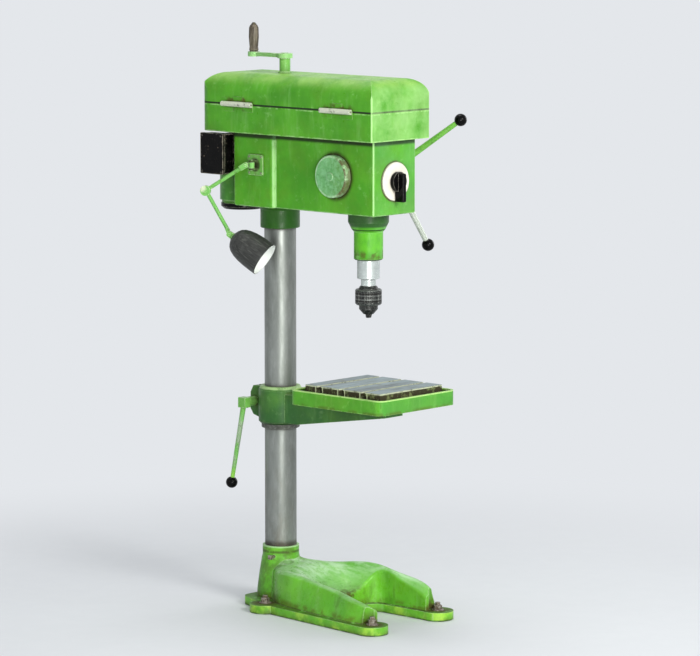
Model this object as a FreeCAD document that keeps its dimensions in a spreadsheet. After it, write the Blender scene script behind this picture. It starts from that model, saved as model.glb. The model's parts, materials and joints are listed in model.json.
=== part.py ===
"""A floor standing pillar drill with a hand crank on its belt hood.

Millimetres, +Z up.  The origin is the column's axis at the floor, the operator
stands at -Y, and -X is the operator's left.
"""
import FreeCAD
import Part
import Sketcher
import math
import os
import re
from FreeCAD import Placement, Rotation, Vector

SIZES = [
    # alias, value, what it is
    ("fit", 0.06, "radial clearance of a running fit"),
    ("gap", 0.3, "clearance between faces of pieces that move apart"),
    ("snug", 0.02, "radial clearance of pieces fixed in one another"),
    # column and base
    ("column_r", 50.0, "column tube, outside radius"),
    ("column_wall", 8.0, "column tube, wall"),
    ("column_foot", 12.0, "height of the column's lower end"),
    ("column_top", 1405.0, "height of the column's upper end"),
    ("flange_t", 27.0, "thickness of the base flange"),
    ("base_wall", 11.0, "wall of the hollow base casting"),
    ("tower_top", 190.0, "height of the socket that holds the column"),
    ("tower_wall", 7.5, "wall of the socket at its top"),
    ("tower_spread", 17.5, "how much wider the socket is at the flange"),
    ("front_bolt_x", 151.0, "front anchor bolts, from the centre line"),
    ("front_bolt_y", 528.0, "front anchor bolts, forward of the column"),
    ("rear_bolt_x", 132.0, "rear anchor bolts, from the centre line"),
    ("rear_bolt_y", 58.0, "rear anchor bolts, forward of the column"),
    ("lobe_r", 49.0, "radius of the flange round each anchor bolt"),
    ("anchor_r", 8.0, "anchor bolt radius"),
    ("anchor_play", 1.5, "radial room round an anchor bolt"),
    ("anchor_seat_r", 29.0, "flat round each anchor bolt, cut out of the base"),
    ("notch_x", 105.0, "half the width of the notch between the legs"),
    ("notch_y", 306.0, "how far forward the notch begins"),
    ("flange_rear_y", 84.0, "how far the flange reaches behind the column"),
    ("flange_rear_x", 158.0, "half the flange's width behind its middle"),
    ("notch_root_r", 42.0, "radius of the notch's two inner corners"),
    ("notch_ledge", 6.0, "edge of the flange inside the notch's walls"),
    ("notch_brim_r", 12.0, "rounding of the upper edge round the notch"),
    ("deck_z", 162.0, "height of the base in front of the socket"),
    ("wall_z", 118.0, "height of the legs' outer walls beside the socket"),
    ("left_ridge", 130.0, "height of the left leg's ridge"),
    ("right_ridge", 150.0, "height of the right leg's ridge"),
    ("valley_z", 70.0, "height of the valley between the legs at the notch"),
    ("toe_len", 93.0, "where the legs begin to narrow, behind the front anchor bolts"),
    ("toe_end", 20.0, "the legs' ends, forward of the front anchor bolts"),
    ("set_screw_deep", 32.0, "screw that locks the column, below the socket's top"),
    # table group
    ("table_z", 738.0, "height of the table's machined face"),
    ("table_front", 584.0, "table's front edge, forward of the column"),
    ("table_back", 200.0, "table's rear edge, forward of the column"),
    ("table_half_x", 174.0, "half the table's width"),
    ("table_rim_top", 16.0, "machined face above the rim"),
    ("table_depth", 62.0, "machined face above the table's underside"),
    ("table_corner_r", 28.0, "corner radius of the table"),
    ("rim_wall", 8.0, "rim wall of the coolant channel"),
    ("channel_w", 33.0, "width of the coolant channel and its rim"),
    ("channel_deep", 22.0, "rim top above the channel's floor"),
    ("slot_y", 390.0, "middle T slot, forward of the column"),
    ("slot_pitch", 92.0, "distance between T slots"),
    ("slot_w", 14.0, "T slot, width of its neck"),
    ("slot_neck", 12.0, "T slot, depth of its neck"),
    ("slot_tee_w", 24.0, "T slot, width of its foot"),
    ("slot_tee", 10.0, "T slot, depth of its foot"),
    ("hub_wall", 19.0, "wall of the bracket hub"),
    ("hub_h", 118.0, "height of the bracket hub"),
    ("hub_deep", 41.0, "machined face above the hub's top"),
    ("arm_half", 40.0, "bracket arm, half its width"),
    ("arm_short", 104.0, "table's front edge, forward of the bracket arm's end"),
    ("arm_tip_deep", 31.0, "bracket arm, depth at its tip"),
    ("arm_root_deep", 90.0, "bracket arm, depth at the hub"),
    ("ear_out", 23.0, "clamp bolt, behind the hub"),
    ("ear_up", 62.0, "clamp bolt, above the hub's underside"),
    ("ear_x", 22.0, "outer face of the clamp ears"),
    ("split_w", 7.0, "slit through the bracket hub"),
    ("clamp_r", 8.0, "clamp bolt radius"),
    ("lever_x", 70.0, "clamp lever, from the centre line"),
    ("lever_len", 268.0, "clamp lever, bolt to ball"),
    ("lever_lean", 12.0, "clamp lever, lean to the rear in degrees"),
    ("lever_ball_r", 18.5, "clamp lever ball radius"),
    ("collar_wall", 10.0, "support collar, wall"),
    ("collar_t", 14.0, "support collar, height"),
    # head
    ("column_grip", 138.0, "how far the column reaches up into the head"),
    ("head_h", 229.0, "head casting, height of the box"),
    ("head_nose", 108.0, "head casting, spindle axis to front face"),
    ("head_back", 89.0, "head casting, rear face"),
    ("head_half", 96.0, "half the width of the front of the head"),
    ("step_w", 16.0, "how much wider the head is behind its step, each side"),
    ("step_y", 74.0, "where the head steps out, forward of the column"),
    ("head_wall", 12.0, "wall of the head casting"),
    ("head_collar_wall", 12.0, "wall of the collar round the column"),
    ("head_collar_len", 71.0, "length of that collar"),
    ("web_t", 20.0, "thickness of the web over the column"),
    ("nose_flare", 18.0, "how much wider the nose is than the sleeve"),
    ("nose_len", 50.0, "spindle nose, height"),
    ("sleeve_wall", 10.0, "wall of the quill sleeve"),
    ("sleeve_len", 94.0, "quill sleeve, length below the nose"),
    # spindle group
    ("spindle_y", 374.0, "spindle axis, forward of the column"),
    ("quill_r", 35.0, "quill, outside radius"),
    ("quill_bore_r", 23.0, "quill, bore radius"),
    ("quill_out", 59.0, "quill below its sleeve at rest"),
    ("quill_len", 418.0, "quill, length"),
    ("spindle_r", 15.0, "spindle, radius in its bearings"),
    ("spindle_neck_r", 23.0, "spindle neck above the chuck"),
    ("spline_up", 121.0, "spindle, upper end above the pulleys' lower face"),
    ("spline_core_r", 10.5, "spline, core radius"),
    ("spline_tip_r", 13.0, "spline, outer radius"),
    ("spline_w", 5.0, "spline, width of one tooth"),
    ("chuck_drop", 23.0, "chuck's top, below the quill"),
    ("chuck_r", 41.0, "chuck sleeve, outside radius"),
    ("chuck_shell", 10.0, "chuck sleeve, outside radius less the body's"),
    ("chuck_sleeve_len", 59.0, "chuck sleeve, length"),
    ("chuck_nose_len", 27.0, "chuck body below its sleeve"),
    ("jaw_out", 12.0, "closed jaws below the chuck body"),
    ("jaw_r", 5.0, "radius of one jaw"),
    ("jaw_lean", 15.0, "lean of the jaws to the axis in degrees"),
    ("jaw_travel", 22.0, "how far the jaws draw back along their bores"),
    # quill feed
    ("module", 2.0, "module of the rack and the pinion"),
    ("pinion_teeth", 20.0, "number of teeth of the pinion"),
    ("rack_deep", 4.0, "rack pitch line below the quill's surface"),
    ("pinion_up", 115.0, "pinion axis above the head's underside"),
    ("journal_play", 0.8, "pinion journals, outside the teeth"),
    ("pinion_face", 46.0, "width of the pinion's teeth"),
    ("stub_r", 14.0, "pinion shaft's right end, radius"),
    ("spring_stub_r", 10.0, "pinion shaft's left end, radius"),
    ("spring_cup_r", 65.0, "return spring housing, radius"),
    ("spring_cup_t", 22.0, "return spring housing, thickness"),
    ("dial_t", 18.0, "depth ring, width"),
    ("dial_r", 36.0, "depth ring, radius"),
    ("turnstile_x", 158.0, "where the spokes' lines meet on the shaft"),
    ("turnstile_r", 30.0, "capstan hub, radius"),
    ("spoke_len", 270.0, "spoke, shaft axis to ball centre"),
    ("spoke_r", 10.5, "spoke, radius at the hub"),
    ("spoke_tip_r", 8.0, "spoke, radius at the ball"),
    ("spoke_cone", 26.5, "how far the spokes lean outward in degrees"),
    ("spoke_turn", 48.5, "first spoke, from upright towards the front"),
    ("spoke_ball_r", 19.5, "spoke ball radius"),
    # switch
    ("switch_up", 103.0, "switch above the head's underside"),
    ("switch_r", 59.0, "switch plate radius"),
    ("switch_t", 8.0, "switch plate thickness"),
    ("knob_deep", 34.0, "how far the switch knob stands out"),
    ("knob_r", 30.0, "switch knob, radius of its round base"),
    # drive
    ("pulley_up", 38.0, "lower face of the cone pulleys above the head"),
    ("step_h", 26.0, "height of one pulley step"),
    ("drive_step_r", 65.0, "spindle pulley, smallest step"),
    ("motor_step_r", 35.0, "motor pulley, smallest step"),
    ("step_rise", 10.0, "difference in radius of two steps"),
    ("groove", 9.0, "depth of a pulley groove"),
    ("drive_sleeve_r", 19.0, "drive sleeve, outside radius"),
    ("motor_room", 1.0, "motor to the head's rear face"),
    ("motor_r", 72.0, "motor, outside radius"),
    ("motor_len", 220.0, "motor body, length"),
    ("motor_drop", 12.0, "motor body's upper end, below the head's top"),
    ("motor_bolt_x", 62.0, "motor bracket bolts, from the centre line"),
    ("motor_shaft_r", 12.0, "motor shaft radius"),
    ("cowl_t", 19.0, "fan cowl, height"),
    ("box_out", 76.0, "terminal box, outer face beyond the motor's side"),
    ("box_h", 128.0, "terminal box, height"),
    ("box_drop", 5.0, "terminal box's top, below the head's top"),
    ("box_fore", 57.0, "terminal box, forward of the motor's axis"),
    ("box_aft", 41.0, "terminal box, behind the motor's axis"),
    # hood
    ("hood_half", 132.0, "hood, half its width"),
    ("hood_nose", 25.0, "hood, front face forward of the head"),
    ("hood_tail", 61.0, "hood, rear face behind the motor's axis"),
    ("hood_wall", 3.0, "hood, sheet thickness"),
    ("hood_rear_r", 40.0, "hood, rear corners"),
    ("hood_crown_r", 58.0, "hood lid, radius of its side and front upper edges"),
    ("hood_rear_crown_r", 78.0, "hood lid, radius of its rear upper edge"),
    ("tray_h", 89.0, "height of the hood's tray"),
    ("lid_h", 94.0, "height of the hood's lid"),
    ("hinge_out", 8.6, "hinge pin, outside the hood's side"),
    ("hinge_r", 8.0, "hinge barrel radius"),
    ("hinge_pin_r", 3.0, "hinge pin radius"),
    ("hinge_len", 126.0, "length of one hinge"),
    ("hinge_inset", 108.0, "hood's rear face to the rear hinge"),
    ("hinge_back", 204.0, "hood's front face to the front hinge's rear end"),
    # elevating gear
    ("screw_y", 22.0, "elevating screw axis, forward of the column axis"),
    ("screw_r", 12.0, "elevating screw radius"),
    ("screw_deep", 170.0, "elevating screw's lower end, below the column's top"),
    ("screw_collar_r", 21.0, "elevating screw, thrust collar"),
    ("screw_journal_r", 10.0, "elevating screw in the head"),
    ("tang_up", 11.0, "foot of the screw's driving tang, below the seam"),
    ("tang_h", 13.0, "height of the tang"),
    ("tang_t", 8.0, "thickness of the tang"),
    ("crank_post_r", 11.0, "crank shaft radius"),
    ("crank_boss_r", 17.0, "crank boss on the lid, radius"),
    ("crank_boss_h", 46.0, "crank boss on the lid, height"),
    ("crank_arm_t", 15.0, "thickness of the crank arm"),
    ("crank_len", 134.0, "crank, shaft to grip"),
    ("grip_r", 16.0, "crank grip radius"),
    ("grip_len", 84.0, "crank grip length"),
    # lamp
    ("lamp_y", -5.0, "lamp plate, across the head"),
    ("lamp_up", 132.0, "lamp plate above the head's underside"),
    ("lamp_plate_w", 64.0, "lamp plate, width and height"),
    ("lamp_plate_t", 5.0, "lamp plate, thickness"),
    ("lamp_pivot_out", 15.0, "swivel pin, from the plate"),
    ("lamp_shoulder_out", 19.0, "shoulder pin, from the swivel pin"),
    ("lamp_arm_1", 151.8, "lamp lower arm, pin to pin"),
    ("lamp_arm_2", 154.5, "lamp upper arm, pin to pin"),
    ("lamp_arm_r", 6.0, "lamp arm radius"),
    ("lamp_pin_r", 4.0, "lamp pins, radius"),
    ("shade_r", 55.0, "lamp shade, rim radius"),
    ("shade_len", 122.0, "lamp shade, length"),
    ("shade_t", 1.6, "lamp shade, sheet thickness"),
    ("shade_start", 16.0, "lamp shade, from the tilt pin"),
    ("holder_r", 16.0, "lamp bulb holder radius"),
]

# Lines and radii that follow from the sizes, so that what fits together moves together.
LINES = {
    "column_bore_r": "column_r - column_wall",
    "tower_r": "column_r + tower_wall",
    "tower_foot_r": "tower_r + tower_spread",
    "anchor_hole_r": "anchor_r + anchor_play",
    "set_screw_z": "tower_top - set_screw_deep",
    "hub_r": "column_r + hub_wall",
    "hub_high": "table_z - hub_deep",
    "hub_low": "hub_high - hub_h",
    "ear_y": "hub_r + ear_out",
    "ear_z": "hub_low + ear_up",
    "arm_tip_y": "table_front - arm_short",
    "collar_r": "column_r + collar_wall",
    "head_low": "column_top - column_grip",
    "head_top": "head_low + head_h",
    "head_front": "spindle_y + head_nose",
    "rear_half": "head_half + step_w",
    "head_collar_r": "column_r + head_collar_wall",
    "head_collar_low": "head_low - head_collar_len",
    "column_web": "head_top - web_t",
    "sleeve_r": "quill_r + sleeve_wall",
    "nose_r": "sleeve_r + nose_flare",
    "nose_low": "head_low - nose_len",
    "sleeve_low": "nose_low - sleeve_len",
    "quill_low": "sleeve_low - quill_out",
    "quill_high": "quill_low + quill_len",
    "chuck_top": "quill_low - chuck_drop",
    "chuck_core_r": "chuck_r - chuck_shell",
    "chuck_shoulder": "chuck_top - chuck_sleeve_len",
    "chuck_nose": "chuck_shoulder - chuck_nose_len",
    "jaw_tip": "chuck_nose - jaw_out",
    "rack_line": "quill_r - rack_deep",
    "pinion_z": "head_low + pinion_up",
    "journal_r": "module * (pinion_teeth + 2) / 2 + journal_play",
    "switch_z": "head_low + switch_up",
    "pulley_low": "head_top + pulley_up",
    "spindle_top": "pulley_low + spline_up",
    "motor_y": "head_back + motor_r + motor_room",
    "motor_high": "head_top - motor_drop",
    "motor_low": "motor_high - motor_len",
    "box_x": "motor_r + box_out",
    "box_high": "head_top - box_drop",
    "box_low": "box_high - box_h",
    "box_front": "motor_y - box_fore",
    "box_back": "motor_y + box_aft",
    "hood_front": "head_front + hood_nose",
    "hood_back": "motor_y + hood_tail",
    "hood_seam": "head_top + tray_h",
    "hood_top": "hood_seam + lid_h",
    "hinge_x": "hood_half + hinge_out",
    "hinge_rear_y": "hood_back - hinge_inset",
    "hinge_front_y": "hood_front - hinge_back",
    "screw_low": "column_top - screw_deep",
    "tang_z": "hood_seam - tang_up",
    "crank_boss_top": "hood_top + crank_boss_h",
    "lamp_z": "head_low + lamp_up",
}

doc = FreeCAD.newDocument("PillarDrill")
sheet = doc.addObject("Spreadsheet::Sheet", "Sizes")
for row, (alias, number, meaning) in enumerate(SIZES, start=1):
    sheet.set(f"A{row}", meaning)
    sheet.set(f"B{row}", repr(number))
    sheet.setAlias(f"B{row}", alias)
doc.recompute()

ALIASES = {alias for alias, _, _ in SIZES}
NODES = []

SCREW_AXIS = ("0", "-screw_y", "0")
ALONG_X = Rotation(Vector(0, 1, 0), 90)
ALONG_Y = Rotation(Vector(1, 0, 0), -90)
FULL_TURN = 360


# ---------------------------------------------------------------- helpers
def bound(text):
    """An expression on the sheet, from text that uses its aliases and the lines."""
    def spelled(word):
        name = word.group()
        if name in LINES:
            return f"({bound(LINES[name])})"
        return "Sizes." + name if name in ALIASES else name

    return re.sub(r"[a-z][a-z0-9_]*", spelled, str(text))


def size(text):
    """The number that such an expression has now."""
    return float(sheet.evalExpression(bound(text)))


def spot(*texts):
    return Vector(*[size(text) for text in texts])


def place(thing, at=("0", "0", "0"), turn=None):
    """Puts an object down, with its place bound to the sheet."""
    if turn is not None:
        thing.Placement = Placement(Vector(), turn)
    for axis, text in zip("xyz", at):
        if text != "0":
            thing.setExpression("Placement.Base." + axis, bound(text))
    return thing


def node(label, thing):
    """Names an object as one of the drill's sub-parts."""
    thing.Label = label
    NODES.append(thing)
    return thing


def new_body(name, at=("0", "0", "0"), turn=None):
    return place(doc.addObject("PartDesign::Body", name), at, turn)


def new_sketch(body, role="XY_Plane", offset="0"):
    """A sketch on one of a body's own planes, moved along its normal."""
    plane = next(face for face in body.Origin.OriginFeatures if face.Role == role)
    sketch = body.newObject("Sketcher::SketchObject", "Sketch")
    sketch.AttachmentSupport = [(plane, "")]
    sketch.MapMode = "FlatFace"
    if offset != "0":
        sketch.setExpression("AttachmentOffset.Base.z", bound(offset))
    return sketch


def pin_point(sketch, index, point, x, y):
    """Dimensions one point of a sketch from its origin."""
    for kind, text in (("DistanceX", x), ("DistanceY", y)):
        number = sketch.addConstraint(Sketcher.Constraint(kind, -1, 1, index, point, size(text)))
        sketch.setExpression(f"Constraints[{number}]", bound(text))


def polygon(sketch, points):
    """A closed outline of straight lines through dimensioned points."""
    corners = [Vector(size(x), size(y), 0) for x, y in points]
    count = len(corners)
    first = sketch.GeometryCount
    for index in range(count):
        line = Part.LineSegment(corners[index], corners[(index + 1) % count])
        sketch.addGeometry(line, False)
    for index in range(count):
        following = first + (index + 1) % count
        sketch.addConstraint(Sketcher.Constraint("Coincident", first + index, 2, following, 1))
    for index, (x, y) in enumerate(points):
        pin_point(sketch, first + index, 1, x, y)
    return sketch


def circle(sketch, x, y, radius):
    where = Vector(size(x), size(y), 0)
    index = sketch.addGeometry(Part.Circle(where, Vector(0, 0, 1), size(radius)), False)
    pin_point(sketch, index, 3, x, y)
    number = sketch.addConstraint(Sketcher.Constraint("Radius", index, size(radius)))
    sketch.setExpression(f"Constraints[{number}]", bound(radius))
    return sketch


def spline(sketch, poles):
    """A smooth line whose poles are dimensioned from the sketch's origin."""
    spots = [Vector(size(x), size(y), 0) for x, y in poles]
    curve = sketch.addGeometry(Part.BSplineCurve(spots, None, None, False, 3, None, False), False)
    for index, (x, y) in enumerate(poles):
        mark = sketch.addGeometry(Part.Circle(spots[index], Vector(0, 0, 1), 1), True)
        align = Sketcher.Constraint(
            "InternalAlignment:Sketcher::BSplineControlPoint", mark, 3, curve, index
        )
        sketch.addConstraint(align)
        sketch.addConstraint(Sketcher.Constraint("Weight", mark, 1.0))
        pin_point(sketch, mark, 3, x, y)
    return curve


def base_section(body, forward, foot, crest, wall, ridge, left, right, valley):
    """A section across the base: a flat foot, two leaning walls, two ridges and a valley."""
    sketch = new_sketch(body, "XZ_Plane", forward)
    poles = []
    right_wall = f"({wall} + 0.6 * ({right} - ({left})))"
    for side, top, low in (("", right, right_wall), ("-", left, f"({wall})")):
        half = [
            (f"{side}({crest})", low),
            (f"{side}({crest} - 1)", f"{low} + 0.6 * ({top} - {low})"),
            (f"{side}({ridge})", f"{top} + 0.18 * ({top} - {low}) + 0.05 * ({top} - ({valley}))"),
            (f"{side}0.72 * ({ridge})", f"{top} - 0.55 * ({top} - ({valley}))"),
            (f"{side}0.36 * ({ridge})", valley),
        ]
        poles += half if not side else half[::-1]
    right_foot, left_foot = [Vector(size(x), 0, 0) for x in (f"{foot}", f"-({foot})")]
    right_top, left_top = [Vector(size(x), size(y), 0) for x, y in (poles[0], poles[-1])]
    sketch.addGeometry(Part.LineSegment(left_foot, right_foot), False)
    sketch.addGeometry(Part.LineSegment(right_foot, right_top), False)
    sketch.addGeometry(Part.LineSegment(left_top, left_foot), False)
    curve = spline(sketch, poles)
    for one, end, other, start in ((0, 2, 1, 1), (1, 2, curve, 1), (curve, 2, 2, 1), (2, 2, 0, 1)):
        sketch.addConstraint(Sketcher.Constraint("Coincident", one, end, other, start))
    pin_point(sketch, 0, 1, f"-({foot})", "0")
    pin_point(sketch, 0, 2, foot, "0")
    return sketch


def feature(body, kind, sketch, **lengths):
    """A PartDesign feature of a sketch, with its sizes bound to the sheet."""
    made = body.newObject("PartDesign::" + kind, kind)
    made.Profile = sketch
    for name, text in lengths.items():
        made.setExpression(name, bound(text))
    return made


def pad(body, sketch, length, reverse=False):
    made = feature(body, "Pad", sketch, Length=length)
    made.Reversed = reverse
    return made


def pocket(body, sketch, length, reverse=False):
    """Cuts towards the sketch's back, or its front if reversed."""
    made = feature(body, "Pocket", sketch, Length=length)
    made.Reversed = reverse
    return made


def spin(body, sketch, kind="Revolution", axis="V_Axis"):
    made = feature(body, kind, sketch)
    made.ReferenceAxis = (sketch, [axis])
    made.Angle = FULL_TURN
    return made


def loft(body, sections, kind="AdditiveLoft"):
    made = feature(body, kind, sections[0])
    made.Sections = [(section, [""]) for section in sections[1:]]
    made.Ruled = False
    return made


def turned(name, outline, at=("0", "0", "0"), turn=None):
    """A body turned about its own Z axis from (radius, height) points."""
    body = new_body(name, at, turn)
    spin(body, polygon(new_sketch(body, "XZ_Plane"), outline))
    return body


def ring(name, inner, outer, low, high, at=("0", "0", "0"), turn=None):
    outline = [(inner, low), (outer, low), (outer, high), (inner, high)]
    return turned(name, outline, at, turn)


def rod(radius, length, at=("0", "0", "0"), turn=None):
    made = doc.addObject("Part::Cylinder", "Rod")
    made.setExpression("Radius", bound(radius))
    made.setExpression("Height", bound(length))
    return place(made, at, turn)


def ball(radius, at):
    made = doc.addObject("Part::Sphere", "Ball")
    made.setExpression("Radius", bound(radius))
    return place(made, at)


def cone(low_r, high_r, height, at=("0", "0", "0"), turn=None):
    made = doc.addObject("Part::Cone", "Cone")
    made.setExpression("Radius1", bound(low_r))
    made.setExpression("Radius2", bound(high_r))
    made.setExpression("Height", bound(height))
    return place(made, at, turn)


def block(low, sides):
    """A box from its lowest corner and its three sides."""
    made = doc.addObject("Part::Box", "Block")
    for name, text in zip(("Length", "Width", "Height"), sides):
        made.setExpression(name, bound(text))
    return place(made, low)


def hexagon(across_flats, height, at=("0", "0", "0"), turn=None):
    made = doc.addObject("Part::Prism", "Hexagon")
    made.Polygon = 6
    made.setExpression("Circumradius", bound(f"({across_flats}) / sqrt(3)"))
    made.setExpression("Height", bound(height))
    return place(made, at, turn)


def fused(*things):
    made = doc.addObject("Part::MultiFuse", "Fused")
    made.Shapes = list(things)
    made.Refine = True
    return made


def common(*things):
    made = doc.addObject("Part::MultiCommon", "Common")
    made.Shapes = list(things)
    made.Refine = True
    return made


def cut(base, *tools):
    made = doc.addObject("Part::Cut", "Cut")
    made.Base = base
    made.Tool = tools[0] if len(tools) == 1 else fused(*tools)
    made.Refine = True
    return made


def group(*things):
    """Separate solids that share one node."""
    made = doc.addObject("Part::Compound", "Group")
    made.Links = list(things)
    return made


def rounded(thing, radius, wanted):
    """Fillets the edges of a Part object that a test picks out."""
    doc.recompute()
    reach = size(radius)
    picked = [
        (index, reach, reach)
        for index, edge in enumerate(thing.Shape.Edges, start=1)
        if wanted(edge)
    ]
    made = doc.addObject("Part::Fillet", "Rounded")
    made.Base = thing
    made.Edges = picked
    return made


def body_fillet(body, radius, wanted):
    """Fillets the edges of a body's last feature that a test picks out."""
    doc.recompute()
    names = [
        f"Edge{index}"
        for index, edge in enumerate(body.Tip.Shape.Edges, start=1)
        if wanted(edge)
    ]
    base = body.Tip
    made = body.newObject("PartDesign::Fillet", "Fillet")
    made.Base = (base, names)
    made.setExpression("Radius", bound(radius))
    return made


def upright(edge):
    """Whether an edge is straight and vertical."""
    if edge.Curve.TypeId != "Part::GeomLine":
        return False
    return abs(edge.tangentAt(edge.FirstParameter).z) > 0.999


def middle_of(edge):
    return edge.valueAt((edge.FirstParameter + edge.LastParameter) / 2)


def frame_of(along, across):
    """A turn that sends local X along one line and local Y across it."""
    along = Vector(along).normalize()
    across = Vector(across).normalize()
    return Rotation(along, across, along.cross(across), "XYZ")


# ---------------------------------------------------------------- stand
BOLT_PLACES = [
    ("-front_bolt_x", "-front_bolt_y"),
    ("front_bolt_x", "-front_bolt_y"),
    ("-rear_bolt_x", "-rear_bolt_y"),
    ("rear_bolt_x", "-rear_bolt_y"),
]

# forward, half foot, half crest and the left wall's height there, then the ridges' distance
# from the middle, the left and the right ridge's height and the valley's
BASE_SECTIONS = [
    (
        "-10", "66", "60", "wall_z - 22",
        "40", "deck_z - 48", "deck_z - 48", "deck_z - 30",
    ),
    (
        "50", "92", "82", "wall_z - 8",
        "58", "left_ridge - 2", "right_ridge - 12", "deck_z - 6",
    ),
    (
        "120", "127", "114", "wall_z",
        "84", "left_ridge + 2", "right_ridge - 13", "deck_z - 24",
    ),
    (
        "190", "144", "notch_x + 18", "wall_z - 4",
        "notch_x", "left_ridge - 3", "right_ridge - 5", "valley_z + 38",
    ),
    (
        "250", "157", "notch_x + 24", "wall_z - 13",
        "notch_x + 9", "left_ridge - 9", "right_ridge + 3", "valley_z + 8",
    ),
    (
        "notch_y + 9", "168", "notch_x + 31", "wall_z - 20",
        "notch_x + 16", "left_ridge - 16", "right_ridge", "valley_z",
    ),
    (
        "notch_y + 74", "178", "notch_x + 38", "wall_z - 31",
        "notch_x + 20", "left_ridge - 26", "right_ridge - 14", "valley_z - 8",
    ),
    (
        "front_bolt_y - toe_len", "186", "notch_x + 51", "wall_z - 35",
        "notch_x + 30", "left_ridge - 36", "right_ridge - 28", "valley_z - 16",
    ),
    (
        "front_bolt_y - toe_len / 2", "182", "notch_x + 51", "wall_z - 43",
        "notch_x + 34", "left_ridge - 46", "right_ridge - 42", "valley_z - 22",
    ),
    (
        "front_bolt_y - 12", "176", "notch_x + 52", "wall_z - 60",
        "notch_x + 37", "left_ridge - 58", "right_ridge - 66", "valley_z - 30",
    ),
    (
        "front_bolt_y + toe_end", "168", "notch_x + 46", "flange_t + 8",
        "notch_x + 33", "flange_t + 13", "flange_t + 13", "flange_t + 8",
    ),
]


def make_base_casting():
    """The hollow foot: a forked flange, two legs with a valley between them, and the socket."""
    body = new_body("BaseCasting")
    flange = polygon(
        new_sketch(body),
        [
            ("-flange_rear_x + 70", "flange_rear_y"),
            ("flange_rear_x - 70", "flange_rear_y"),
            ("flange_rear_x - 44", "10"),
            ("flange_rear_x", "-115"),
            ("front_bolt_x + lobe_r", "-front_bolt_y"),
            ("-front_bolt_x - lobe_r", "-front_bolt_y"),
            ("-flange_rear_x", "-115"),
            ("-flange_rear_x + 44", "10"),
        ],
    )
    pad(body, flange, "flange_t")
    loft(body, [base_section(body, *row) for row in BASE_SECTIONS])

    def corner_at(x, y):
        def wanted(edge):
            middle = middle_of(edge)
            return upright(edge) and abs(abs(middle.x) - size(x)) < 1 and abs(middle.y - size(y)) < 1

        return wanted

    def brim(edge):
        middle = middle_of(edge)
        inside = abs(middle.x) < size("notch_x + notch_ledge") + 1
        ahead = middle.y < size("notch_ledge - notch_y") + 1
        return inside and ahead and not upright(edge) and middle.z > size("flange_t") + 5

    for low, wider in (("-1", "0"), ("flange_t", "notch_ledge")):
        across = f"notch_x + {wider}"
        forward = f"{wider} - notch_y"
        notch = polygon(
            new_sketch(body, offset=low),
            [
                (f"-({across})", forward),
                (across, forward),
                (across, "-front_bolt_y - lobe_r"),
                (f"-({across})", "-front_bolt_y - lobe_r"),
            ],
        )
        pocket(body, notch, "tower_top + 20", reverse=True)
        body_fillet(body, f"notch_root_r + {wider}", corner_at(across, forward))
    body_fillet(body, "notch_brim_r", brim)
    body_fillet(body, "34", corner_at("flange_rear_x - 70", "flange_rear_y"))
    for x, y in BOLT_PLACES:
        pad(body, circle(new_sketch(body), x, y, "lobe_r"), "flange_t")
    tower = polygon(
        new_sketch(body, "XZ_Plane"),
        [
            ("0", "0"),
            ("tower_foot_r", "0"),
            ("tower_foot_r", "flange_t + 20"),
            ("tower_foot_r - 6", "tower_top * 0.5"),
            ("tower_r + 3", "tower_top - 42"),
            ("tower_r", "tower_top - 30"),
            ("tower_r", "tower_top"),
            ("0", "tower_top"),
        ],
    )
    spin(body, tower)
    under_deck = polygon(
        new_sketch(body),
        [
            ("-notch_x", "-tower_foot_r - 36"),
            ("notch_x", "-tower_foot_r - 36"),
            ("notch_x + 2 * base_wall", "-notch_y + 2 * base_wall"),
            ("-notch_x - 2 * base_wall", "-notch_y + 2 * base_wall"),
        ],
    )
    pocket(body, under_deck, "valley_z - base_wall", reverse=True)
    for side in ("-1", "1"):
        hollow = polygon(
            new_sketch(body),
            [
                (f"{side} * (notch_x + notch_ledge + base_wall)", "-notch_y + 3 * base_wall"),
                (f"{side} * (notch_x + 33)", "-notch_y + 3 * base_wall"),
                (f"{side} * (notch_x + 48)", "-front_bolt_y + toe_len"),
                (f"{side} * (notch_x + notch_ledge + base_wall)", "-front_bolt_y + toe_len"),
            ],
        )
        pocket(body, hollow, "flange_t + 14", reverse=True)
    bore = circle(new_sketch(body, offset="column_foot"), "0", "0", "column_r + snug")
    pocket(body, bore, "tower_top", reverse=True)
    for x, y in BOLT_PLACES:
        hole = circle(new_sketch(body, offset="-1"), x, y, "anchor_hole_r")
        pocket(body, hole, "flange_t + 60", reverse=True)
        seat = circle(new_sketch(body, offset="flange_t"), x, y, "anchor_seat_r")
        pocket(body, seat, "wall_z", reverse=True)
    for side in ("-1", "1"):
        open_side = polygon(
            new_sketch(body, offset="flange_t"),
            [
                (f"{side} * notch_x", "-front_bolt_y + anchor_seat_r / 2"),
                (f"{side} * front_bolt_x", "-front_bolt_y + anchor_seat_r / 2"),
                (f"{side} * front_bolt_x", "-front_bolt_y - lobe_r"),
                (f"{side} * notch_x", "-front_bolt_y - lobe_r"),
            ],
        )
        pocket(body, open_side, "wall_z", reverse=True)
    screw = circle(new_sketch(body, "YZ_Plane", "-tower_foot_r - 10"), "-20", "set_screw_z", "5")
    pocket(body, screw, "tower_foot_r + 10", reverse=True)
    return node("base_casting", body)


def make_anchor_bolts():
    pieces = []
    for x, y in BOLT_PLACES:
        washer = cut(
            rod("anchor_hole_r + 9.5", "3", (x, y, "flange_t")),
            rod("anchor_r + snug", "5", (x, y, "flange_t - 1")),
        )
        stud = rod("anchor_r", "flange_t + 24", (x, y, "1"))
        nut = hexagon("24", "13", (x, y, "flange_t + 3"))
        pieces += [washer, fused(stud, nut)]
    return node("anchor_bolts", group(*pieces))


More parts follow.
